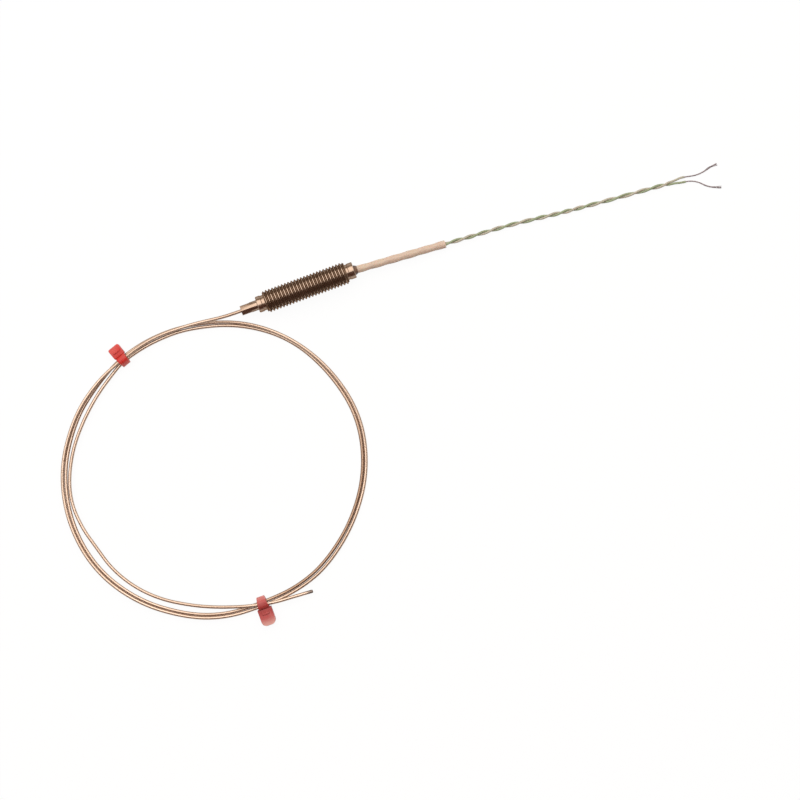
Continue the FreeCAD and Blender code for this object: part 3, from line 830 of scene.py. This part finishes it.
class StageOperator(bpy.types.Operator):
    """Make the floor, the lamp, the room light and the camera"""
    bl_idname = "thermo.stage"
    bl_label = "Stage"

    WHITE = (1, 1, 1, 1)
    FLOOR_CELLS = 8

    # The floor's own white by the object, and the distances over which it grows to full white
    NEAR_WHITE = 0.94
    WHITE_DISTANCES = (0.25, 0.8)

    # Where the room's colours change, as parts of a direction, and the wall's share past the tails
    WALL_BY_POT = (-0.35, 0.75)
    WALL_BY_TAILS = (0.2, 0.8)
    TAILS_SHARE = 0.55
    HORIZON = (0.02, 0.12)

    def execute(self, context):
        stage = context.scene.thermo_stage
        self.floor(stage)
        self.lamp(stage)
        self.room(context.scene, stage)
        self.camera(context.scene, stage)
        context.scene.view_settings.view_transform = "Standard"
        return {"FINISHED"}

    def floor(self, stage):
        """A white floor that keeps a faint shadow near the object."""
        bm = bmesh.new()
        bmesh.ops.create_grid(bm, x_segments=self.FLOOR_CELLS, y_segments=self.FLOOR_CELLS,
                              size=stage.floor_size)
        material = bpy.data.materials.new("floor")
        material.use_nodes = True
        tree = material.node_tree
        tree.nodes.remove(tree.nodes["Principled BSDF"])
        paths = tree.nodes.new("ShaderNodeLightPath").outputs
        seen = maths(tree, "MAXIMUM", paths["Is Camera Ray"], paths["Is Glossy Ray"])
        seen = maths(tree, "MAXIMUM", seen, paths["Is Transmission Ray"])
        white = ranged(tree, distance_from(tree, Vector()), *self.WHITE_DISTANCES, self.NEAR_WHITE, 1.0)
        matt = node(tree, "BsdfDiffuse", Color=opaque(stage.floor)).outputs["BSDF"]
        glow = node(tree, "Emission", Color=self.WHITE, Strength=1.0).outputs["Emission"]
        mixed = node(tree, "MixShader", Fac=maths(tree, "MULTIPLY", seen, white))
        plug(tree, matt, mixed.inputs[1])
        plug(tree, glow, mixed.inputs[2])
        plug(tree, mixed.outputs["Shader"], tree.nodes["Material Output"].inputs["Surface"])
        mesh_piece(bm, "floor", material)

    def lamp(self, stage):
        """One long softbox over the object, leaning towards the pot's side."""
        lean = stage.lamp_lean
        data = bpy.data.lights.new("softbox", "AREA")
        data.shape = "RECTANGLE"
        data.size = stage.lamp_width
        data.size_y = stage.lamp_depth
        data.energy = stage.lamp_level * math.pi * stage.lamp_width * stage.lamp_depth
        data.color = stage.lamp
        lamp = shown("softbox", data)
        lamp.location = Vector((0, math.sin(lean), math.cos(lean))) * stage.lamp_distance
        lamp.rotation_euler = (-lean, 0, 0)

    def room(self, scene, stage):
        """A pale horizon under a dim, warm room with a lighter wall."""
        world = bpy.data.worlds.new("room")
        world.use_nodes = True
        tree = world.node_tree
        towards = axes(tree, "Generated")
        by_pot = ranged(tree, towards["Y"], *self.WALL_BY_POT)
        by_tails = ranged(tree, towards["X"], *self.WALL_BY_TAILS, 0.0, self.TAILS_SHARE)
        by_wall = maths(tree, "MAXIMUM", by_pot, by_tails)
        dim = blended(tree, by_wall, opaque(stage.zenith), opaque(stage.wall))
        colour = blended(tree, ranged(tree, towards["Z"], *self.HORIZON), self.WHITE, dim)
        plug(tree, colour, tree.nodes["Background"].inputs["Color"])
        scene.world = world

    def camera(self, scene, stage):
        """Straight down on the object."""
        data = bpy.data.cameras.new("camera")
        data.lens = stage.lens
        data.sensor_width = stage.sensor
        camera = shown("camera", data)
        camera.location = Vector(stage.centre) + UP * stage.field * stage.lens / stage.sensor
        camera.rotation_euler = (0, 0, stage.turn)
        scene.camera = camera


class CableTiesOperator(bpy.types.Operator):
    """Make the two cable ties round the coil's strands"""
    bl_idname = "thermo.cable_ties"
    bl_label = "Cable ties"

    # The loop's inside, and where a head begins, counted from the strands' middle
    ROOM = CABLE_D / 2 + STRAND_ROOM
    HEAD_START = STRAND_SPACING / 2 + ROOM

    ARC_STEPS = 8
    CORNER_STEPS = 8
    EDGE_STEPS = 3
    SHARP = 40.0
    FACES_UP = 0.9

    # The slot's depth and the trimmed end's lower edge as shares of a head's height, and that end's fit
    SLOT_DEPTH = 0.4
    CUT_LOW = 0.55
    CUT_THICKNESS = 0.98
    CUT_WIDTH = 0.94

    def execute(self, context):
        ties = context.scene.thermo_ties
        # How much painted shade each head gets, and how much painted light its far end gets
        upper = red_nylon(ties, "upper_nylon", ties.nylon, UPPER_TIE.radius, painted_shade_most=0.25, painted_light_end=0.0)
        lower = red_nylon(ties, "lower_nylon", ties.rose, LOWER_TIE.radius, painted_shade_most=0.85, painted_light_end=0.85)
        self.tie(ties, "upper", UPPER_TIE, upper)
        self.tie(ties, "lower", LOWER_TIE, lower)
        return {"FINISHED"}

    def tie(self, ties, name, size, material):
        """One tie: strap loop, head with its slot, and the trimmed end that stands over it."""
        bm = bmesh.new()
        for shell in (self.strap(ties, size), self.head(ties, size), self.trimmed_end(ties, size)):
            add_shell(bm, shell)
        turn = Matrix.Rotation(math.radians(size.angle), 4, "Z")
        outward = turn @ Vector((size.radius, 0, 0))
        bmesh.ops.transform(bm, matrix=Matrix.Translation(COIL_CENTRE + outward) @ turn, verts=bm.verts)
        settle(mesh_piece(bm, name + "_cable_tie", material), "red_nylon", name + "_tie")

    def strap(self, ties, size):
        """A band round two strands and one that crosses over them, widening to its root by the head."""
        half = STRAND_SPACING / 2
        top = STRAND_Z + STACK_RISE
        centres = [Vector((-half - size.slack, 0, STRAND_Z)), Vector((half, 0, STRAND_Z)),
                   Vector((size.spread, 0, top)), Vector((-size.spread, 0, top))]
        bm = bmesh.new()
        for radius in (self.ROOM, self.ROOM + STRAP_THICKNESS):
            self.rounded_loop(bm, centres, radius)
        faces = bmesh.ops.bridge_loops(bm, edges=bm.edges[:])["faces"]
        bmesh.ops.translate(bm, vec=-Y_AXIS / 2, verts=bm.verts)
        grown = bmesh.ops.extrude_face_region(bm, geom=faces)["geom"]
        bmesh.ops.translate(bm, vec=Y_AXIS, verts=verts_of(grown))
        root_end = self.HEAD_START + 2 * STRAP_THICKNESS
        inner_end = -root_end - size.slack
        for vert in bm.verts:
            to_root = (vert.co.x - inner_end) / (root_end - inner_end)
            vert.co.y *= size.strap + (size.root - size.strap) * to_root
        bmesh.ops.recalc_face_normals(bm, faces=bm.faces)
        self.soften(bm, ties.strap_round)
        return bm

    def rounded_loop(self, bm, centres, radius):
        """The line round some strands at a distance from their middles."""
        arcs = []
        for index, centre in enumerate(centres):
            after = centres[(index + 1) % len(centres)]
            out_before = Y_AXIS.cross(centre - centres[index - 1]).normalized() * radius
            out_after = Y_AXIS.cross(after - centre).normalized() * radius
            first = bm.verts.new(centre + out_before)
            spun = bmesh.ops.spin(bm, geom=[first], cent=centre, axis=-Y_AXIS, dvec=(0, 0, 0),
                                  angle=out_before.angle(out_after), steps=self.ARC_STEPS,
                                  use_merge=False, use_duplicate=False)
            arcs.append((first, verts_of(spun["geom_last"])[0]))
        for (_, last), (first, _) in zip(arcs, arcs[1:] + arcs[:1]):
            bm.edges.new((last, first))

    def soften(self, bm, offset):
        """Rounds the sharp edges of a moulding."""
        round_edges(bm, sharp_edges(bm, self.SHARP), offset, self.EDGE_STEPS)

    def slot(self, ties):
        """Where a head's slot starts and ends, counted from the strands' middle."""
        start = self.HEAD_START + ties.slot_from_strands
        return start, start + ties.slot_gap + STRAP_THICKNESS

    def block(self, middle, size):
        """A block to start a moulding from."""
        bm = bmesh.new()
        bmesh.ops.create_cube(bm, size=1.0, matrix=Matrix.LocRotScale(middle, None, size))
        return bm

    def head(self, ties, size):
        """The moulded head with its slot."""
        height = ties.head_height
        outside = Vector((size.length - ties.head_set_back, size.width, height))
        middle = Vector((self.HEAD_START + size.length - outside.x / 2, 0, height / 2))
        bm = self.block(middle, outside)
        upright = [edge for edge in bm.edges if all(vert.co.x > middle.x for vert in edge.verts)
                   and abs(edge.verts[0].co.z - edge.verts[1].co.z) > height / 2]
        round_edges(bm, upright, size.corner, self.CORNER_STEPS)
        slot_start, slot_end = self.slot(ties)
        side = size.strap / 2
        for place, across in ((slot_start, X_AXIS), (slot_end, X_AXIS), (-side, Y_AXIS), (side, Y_AXIS)):
            cut_by_plane(bm, across * place, across)
        mouth = []
        for face in bm.faces:
            spot = face.calc_center_median()
            if face.normal.z > self.FACES_UP and slot_start < spot.x < slot_end and abs(spot.y) < side:
                mouth.append(face)
        sunk = bmesh.ops.extrude_face_region(bm, geom=mouth)["geom"]
        bmesh.ops.translate(bm, vec=(0, 0, -self.SLOT_DEPTH * height), verts=verts_of(sunk))
        self.soften(bm, ties.head_round)
        return bm

    def trimmed_end(self, ties, size):
        """The strap's cut end, standing in the slot."""
        _, slot_end = self.slot(ties)
        top = ties.head_height + ties.proud
        low = self.CUT_LOW * ties.head_height
        middle = Vector((slot_end - STRAP_THICKNESS / 2, 0, (top + low) / 2))
        outside = (STRAP_THICKNESS * self.CUT_THICKNESS, size.strap * self.CUT_WIDTH, top - low)
        bm = self.block(middle, outside)
        self.soften(bm, ties.cut_round)
        return bm


class SheathedCableOperator(bpy.types.Operator):
    """Make the sheathed cable from the pot through the coil to its welded tip"""
    bl_idname = "thermo.sheathed_cable"
    bl_label = "Sheathed cable"

    WELD_SIDES = 24
    WELD_RINGS = 12

    def execute(self, context):
        cable = context.scene.thermo_cable
        steel = sheath_steel(cable)
        points = LEAD_IN_POINTS + coil_points() + TIP_POINTS + [tip_end()]
        data = cord_curve("sheathed_cable", [points], CABLE_D, cable.line_steps, cable.round_steps)
        piece = shown("sheathed_cable", data, steel)
        settle(piece, "sheath_steel", "cable_lead_in", "cable_coil", "tip_sheath")
        on_it = [self.weld(steel), "upper_cable_tie", "lower_cable_tie"]
        on_it += ["tip_insulation", "tip_positive_wire", "tip_negative_wire", "hot_junction"]
        length = lengths_along(smooth_line(points, cable.line_steps))[-1]
        return {"FINISHED"}

    def weld(self, material):
        """The domed weld that closes the sheath."""
        bm = bmesh.new()
        bmesh.ops.create_uvsphere(bm, u_segments=self.WELD_SIDES, v_segments=self.WELD_RINGS,
                                  radius=CABLE_D / 2)
        cut_by_plane(bm, (0, 0, 0), -UP, clear_outer=True)
        bmesh.ops.holes_fill(bm, edges=[edge for edge in bm.edges if edge.is_boundary])
        squash = Matrix.Diagonal((1, 1, TIP_DOME / (CABLE_D / 2), 1))
        turn = tip_axis()[1].to_track_quat("Z", "Y").to_matrix().to_4x4()
        bmesh.ops.transform(bm, matrix=Matrix.Translation(tip_end()) @ turn @ squash, verts=bm.verts)
        return settle(mesh_piece(bm, "tip_weld", material), "sheath_steel")


class ThreadedPotOperator(bpy.types.Operator):
    """Turn the pot with its thread, collars and crimped spigot"""
    bl_idname = "thermo.threaded_pot"
    bl_label = "Threaded pot"

    STEPS = 96
    EDGE_STEPS = 2
    SHARP = 30.0

    # The thread's form: depth as a share of the pitch, and how often each flat goes into it
    DEPTH = 0.5
    ROOTS_IN_PITCH = 7
    CRESTS_IN_PITCH = 5
    FLANK_CUTS = 2
    THREAD_STEPS = 48

    # Turns that the helix starts early and turns that it has to spare, cut off again at the thread's ends
    EARLY_TURNS = 2
    SPARE_TURNS = 3

    # The crimp: its flats, how far its corners stand out over them, and what counts as the spigot's outside
    FLATS = 6
    CORNER = 1.13
    OUTSIDE = 0.9

    # Distances within which points count as one, a rim is open to be joined, and a place is reached
    THREAD_MERGE = 0.000003
    MERGE = 0.000002
    RIM_REACH = 0.00002
    REACH = 0.0001

    def execute(self, context):
        pot = context.scene.thermo_pot
        bm = bmesh.new()
        self.thread(bm, pot)
        self.turned_ends(bm, pot)
        self.join(bm, pot)
        settle(mesh_piece(bm, "turned_pot", turned_steel(pot)), "pot_steel", "threaded_pot")
        return {"FINISHED"}

    def thread(self, bm, pot):
        """A right-hand helix with flat crests and roots, chamfered at both ends."""
        pitch = pot.thread_pitch
        crest = pot.thread_d / 2
        root = crest - self.DEPTH * pitch
        start = thread_start(pot)
        end = start + pot.thread_length
        early = start - self.EARLY_TURNS * pitch
        flat = pitch / self.ROOTS_IN_PITCH
        flank = (pitch - flat - pitch / self.CRESTS_IN_PITCH) / 2
        form = ((0, root), (flat, root), (flat + flank, crest), (pitch - flank, crest), (pitch, root))
        _, edges = outline(bm, [(early + x, radius) for x, radius in form])
        bmesh.ops.subdivide_edges(bm, edges=edges, cuts=self.FLANK_CUTS)
        turns = math.ceil(pot.thread_length / pitch) + self.SPARE_TURNS
        step = (pitch / self.THREAD_STEPS, 0, 0)
        bmesh.ops.spin(bm, geom=bm.verts[:] + bm.edges[:], cent=AXIS, axis=X_AXIS, dvec=step,
                       angle=2 * math.pi * turns, steps=self.THREAD_STEPS * turns, use_merge=False,
                       use_duplicate=False)
        bmesh.ops.remove_doubles(bm, verts=bm.verts, dist=self.THREAD_MERGE)
        for place, side in ((start, -1), (end, 1)):
            cut_by_plane(bm, (place, 0, 0), X_AXIS * side, clear_outer=True)
        for vert in bm.verts:
            limit = root + max(min(vert.co.x - start, end - vert.co.x), 0)
            if distance_out(vert) > limit:
                set_distance_out(vert, limit)

    def turned_ends(self, bm, pot):
        """Spigot, collars, necks and the hollow for the resin, with the spigot's mouth crimped."""
        start = thread_start(pot)
        end = start + pot.thread_length
        for profile in (self.front(pot, start), self.rear(pot, end)):
            turned_rings(bm, profile, self.STEPS, CRIMP_TURN)
        crimp_end = POT_FRONT + pot.crimp_length
        outside = self.OUTSIDE * pot.spigot_d / 2
        for vert in bm.verts:
            if vert.co.x < crimp_end + self.REACH and distance_out(vert) > outside:
                set_distance_out(vert, self.crimp_radius(pot, vert))
        turned = [edge for edge in sharp_edges(bm, self.SHARP)
                  if all(not start - self.REACH <= vert.co.x <= end + self.REACH for vert in edge.verts)
                  and all(distance_out(vert) > outside for vert in edge.verts)]
        round_edges(bm, turned, pot.edge_round, self.EDGE_STEPS)

    def bore_and_floor(self, pot):
        """The radius of the spigot's bore, and where the hollow's floor is."""
        return CABLE_D / 2 + pot.bore_room, POT_FRONT + pot.spigot_length + pot.cavity_wall

    def front(self, pot, start):
        """The outline from the hollow's floor through the bore and over spigot and collar to the thread."""
        bore, floor = self.bore_and_floor(pot)
        chamfer = pot.mouth_chamfer
        spigot = pot.spigot_d / 2
        neck = pot.neck_d / 2
        crimp_end = POT_FRONT + pot.crimp_length
        collar_end = start - pot.front_neck
        spigot_end = collar_end - pot.front_collar
        profile = [(floor, bore), (POT_FRONT + chamfer, bore), (POT_FRONT, bore + chamfer)]
        profile += [(POT_FRONT, spigot), (crimp_end, spigot), (crimp_end + pot.crimp_run_out, spigot)]
        profile += [(spigot_end, spigot)] + self.collar(pot, spigot_end, collar_end)
        return profile + [(collar_end, neck), (start, neck)]

    def rear(self, pot, end):
        """The outline from the thread over the rear collar and into the hollow down to its floor."""
        bore, floor = self.bore_and_floor(pot)
        neck = pot.neck_d / 2
        cavity = pot.cavity_d / 2
        collar_start = POT_REAR - pot.rear_collar
        profile = [(end, neck), (collar_start, neck)] + self.collar(pot, collar_start, POT_REAR)
        return profile + [(POT_REAR, cavity), (floor, cavity), (floor, bore)]

    def collar(self, pot, start, end):
        """A collar's outline with both edges broken."""
        out = pot.collar_d / 2
        edge = pot.edge_break
        return [(start, out - edge), (start + edge, out), (end - edge, out), (end, out - edge)]

    def crimp_radius(self, pot, vert):
        """The crimped mouth's outline: six flats with rounded corners."""
        flat = 2 * math.pi / self.FLATS
        angle = math.atan2(vert.co.z - AXIS_Z, vert.co.y) - CRIMP_TURN
        off_middle = angle % flat - flat / 2
        return min(pot.crimp_flats / 2 / math.cos(off_middle), pot.crimp_flats / 2 * self.CORNER)

    def join(self, bm, pot):
        """Closes the steps between the thread and its necks."""
        start = thread_start(pot)
        for place in (start, start + pot.thread_length):
            bridge_rims(bm, X_AXIS * place, X_AXIS, self.RIM_REACH)
        bmesh.ops.remove_doubles(bm, verts=bm.verts, dist=self.MERGE)
        bmesh.ops.recalc_face_normals(bm, faces=bm.faces)


class ResinBeadOperator(bpy.types.Operator):
    """Give the potting resin its finish"""
    bl_idname = "thermo.resin_bead"
    bl_label = "Resin bead"

    def execute(self, context):
        dress("potting_resin", potting_resin(context.scene.thermo_pot))
        return {"FINISHED"}


class TailSleeveOperator(bpy.types.Operator):
    """Draw the sleeve over the first stretch of the tails"""
    bl_idname = "thermo.tail_sleeve"
    bl_label = "Tail sleeve"

    RINGS = 160
    SIDES = 32
    CREASE = 60.0

    # Distances within which a rim belongs to an end, and a point to a wall
    RIM_REACH = 0.0005
    WALL_REACH = 0.00001

    # The lumps grow to full size over the first stretch, and ripple as a share of that at uneven distances
    LUMPS_GROW = 0.008
    RIPPLE = 0.5
    RIPPLE_STEP = 0.0031
    DRIFT = 1.7
    DRIFT_STEP = 0.0067

    def execute(self, context):
        tails = context.scene.thermo_tails
        start = PAIR_POINTS[0]
        axis = (PAIR_POINTS[1] - start).normalized()
        bm = bmesh.new()
        for radius, lumps in ((tails.sleeve_d / 2, tails.sleeve_lumps), (tails.sleeve_bore / 2, 0.0)):
            self.wall(bm, tails.sleeve_length, radius, lumps, start, axis)
        for place in (start, start + axis * tails.sleeve_length):
            bridge_rims(bm, place, axis, self.RIM_REACH)
        bmesh.ops.recalc_face_normals(bm, faces=bm.faces)
        finish = soft_plastic("tail_sleeve", tails.sleeve, tails.sleeve_stain, grain=(0.0007, 0.06),
                              stains=(0.0045, 0.5), roughness=(0.5, 0.12), bump=0.00001)
        piece = mesh_piece(bm, "sleeve_of_tails", finish.material, self.CREASE)
        settle(piece, "tail_sleeve", "tail_sleeve")
        return {"FINISHED"}

    def wall(self, bm, length, radius, lumps, start, axis):
        """One face of the sleeve, a ring drawn out step by step, oval where the pair pushes it."""
        left = UP.cross(axis).normalized()
        over = axis.cross(left)
        turn = Matrix((left, over, axis)).transposed().to_4x4()
        ring = bmesh.ops.create_circle(bm, segments=self.SIDES, radius=radius,
                                       matrix=Matrix.Translation(start) @ turn)["verts"]
        edges = list({edge for vert in ring for edge in vert.link_edges})
        for _ in range(self.RINGS):
            drawn = bmesh.ops.extrude_edge_only(bm, edges=edges)["geom"]
            edges = [part for part in drawn if isinstance(part, bmesh.types.BMEdge)]
            bmesh.ops.translate(bm, vec=axis * (length / self.RINGS), verts=verts_of(drawn))
        for vert in bm.verts:
            offset = vert.co - start
            along = offset.dot(axis)
            out = offset - axis * along
            if abs(out.length - radius) > self.WALL_REACH:
                continue
            angle = math.atan2(out.dot(over), out.dot(left)) - twist_angle(vert.co.x)
            swell = math.cos(2 * angle) * min(1.0, along / self.LUMPS_GROW)
            drift = self.DRIFT * math.sin(along / self.DRIFT_STEP)
            ripple = self.RIPPLE * math.sin(along / self.RIPPLE_STEP + drift)
            vert.co = start + axis * along + out * (1 + lumps * (swell + ripple) / radius)


class BaredConductorsOperator(bpy.types.Operator):
    """Lay the seven wires of each bared conductor"""
    bl_idname = "thermo.bared_conductors"
    bl_label = "Bared conductors"

    ROUGHNESS = 0.45
    ROUND_STEPS = 2

    # How far each outer wire strays at its end, and the power by which it comes to that
    FRAY = {"negative": (0.0002, 0.0007, 0.0004, 0.0001, 0.0003, 0.0002),
            "positive": (0.0002, 0.0001, 0.0003, 0.0002, 0.0001, 0.0004)}
    FRAY_POWER = 4

    def execute(self, context):
        tails = context.scene.thermo_tails
        metal = wire_metal("bared_wire", tails.wire, self.ROUGHNESS)
        for name, frays in self.FRAY.items():
            _, bare = covered_and_bare(name)
            lines = [bare]
            for index, fray in enumerate(frays):
                lines.append(self.wire(tails, bare, index / len(frays), fray))
            data = cord_curve(name + "_conductor", lines, tails.wire_d, READ_STEPS, self.ROUND_STEPS)
            settle(shown(name + "_conductor", data, metal), "alloy_wire", name + "_bare_end")
        return {"FINISHED"}

    def wire(self, tails, line, turned, fray):
        """One wire of those round the middle one, straying near its end."""
        lengths = lengths_along(line)
        points = []
        for (point, left, over), along in zip(frames_along(line), lengths):
            angle = 2 * math.pi * (turned + along / tails.lay)
            stray = fray * (along / lengths[-1]) ** self.FRAY_POWER
            place = beside(point, left, over, angle, tails.wire_d + stray)
            place.z = max(place.z, tails.wire_d / 2)
            points.append(place)
        return points


class TwistedLeadsOperator(bpy.types.Operator):
    """Twist the two insulated leads together and part them at the fork"""
    bl_idname = "thermo.twisted_leads"
    bl_label = "Twisted leads"

    # What each lead stands for, and what is on it
    SOLIDS = {"negative": ["negative_lead_end", "tail_pair"], "positive": ["positive_lead_end"]}
    ON_IT = {"negative": ["negative_conductor", "sleeve_of_tails"], "positive": ["positive_conductor"]}

    def execute(self, context):
        tails = context.scene.thermo_tails
        colours = {"negative": tails.white, "positive": tails.green}
        for name, colour in colours.items():
            covered, _ = covered_and_bare(name)
            points = self.twisted(LEAD_SIDES[name]) + covered[1:]
            finish = soft_plastic(LEAD_COVERS[name], colour, darker(colour, 0.7), stains=(0.004, 0.25))
            data = cord_curve(name + "_lead", [points], LEAD_D, READ_STEPS)
            piece = shown(name + "_lead", data, finish.material)
            settle(piece, LEAD_COVERS[name], *self.SOLIDS[name])
        return {"FINISHED"}

    def twisted(self, side):
        """A lead's points round the pair's middle line."""
        points = []
        for point, left, over in frames_along(smooth_line(PAIR_POINTS, PAIR_STEPS)):
            points.append(beside(point, left, over, twist_angle(point.x), side * LEAD_OFFSET))
        return points


class InnerPiecesOperator(bpy.types.Operator):
    """Give the pieces inside the pot and the tip their finishes"""
    bl_idname = "thermo.inner_pieces"
    bl_label = "Inner pieces"

    def execute(self, context):
        cable = context.scene.thermo_cable
        pot = context.scene.thermo_pot
        magnesia = powder("magnesia", cable.magnesia)
        alloy = wire_metal("thermoelement_alloy", cable.alloy)
        barrel = wire_metal("splice_metal", pot.splice)
        cover = soft_plastic("splice_sleeve", pot.cover, pot.cover_stain).material
        dress("cold_end_sheath", wire_metal("cold_end_steel", cable.steel))
        dress("cold_end_insulation", magnesia)
        dress("tip_insulation", magnesia)
        dress("hot_junction", alloy)
        for name in LEAD_SIDES:
            dress(name + "_thermoelement", alloy)
            dress("tip_" + name + "_wire", alloy)
            dress(name + "_splice_barrel", barrel)
            dress(name + "_splice_sleeve", cover)
            dress(name + "_conductor_root", bpy.data.materials["bared_wire"])
            dress(name + "_lead_root", bpy.data.materials[LEAD_COVERS[name]])
        return {"FINISHED"}


OPERATORS = (
    StageOperator,
    CableTiesOperator,
    SheathedCableOperator,
    ThreadedPotOperator,
    ResinBeadOperator,
    TailSleeveOperator,
    BaredConductorsOperator,
    TwistedLeadsOperator,
    InnerPiecesOperator,
)


class ThermocouplePanel(bpy.types.Panel):
    """Lists the pieces and their settings"""
    bl_idname = "VIEW3D_PT_thermocouple"
    bl_label = "Thermocouple"
    bl_space_type = "VIEW_3D"
    bl_region_type = "UI"
    bl_category = "Thermocouple"

    def draw(self, context):
        for operator in OPERATORS:
            self.layout.operator(operator.bl_idname)
        for name, group in SETTINGS.items():
            box = self.layout.box()
            box.label(text=group.__doc__)
            for setting in group.__annotations__:
                box.prop(getattr(context.scene, name), setting)


CLASSES = (*SETTINGS.values(), *OPERATORS, ThermocouplePanel)


def register():
    """Adds the classes and gives each scene its settings."""
    for item in CLASSES:
        bpy.utils.register_class(item)
    for name, group in SETTINGS.items():
        setattr(bpy.types.Scene, name, PointerProperty(type=group))


def unregister():
    """Takes the settings and classes away again."""
    for name in SETTINGS:
        delattr(bpy.types.Scene, name)
    for item in reversed(CLASSES):
        bpy.utils.unregister_class(item)


def main():
    """Builds every piece in order."""
    register()
    for operator in OPERATORS:
        group, name = operator.bl_idname.split(".")
        getattr(getattr(bpy.ops, group), name)()


if __name__ == "__main__":
    main()
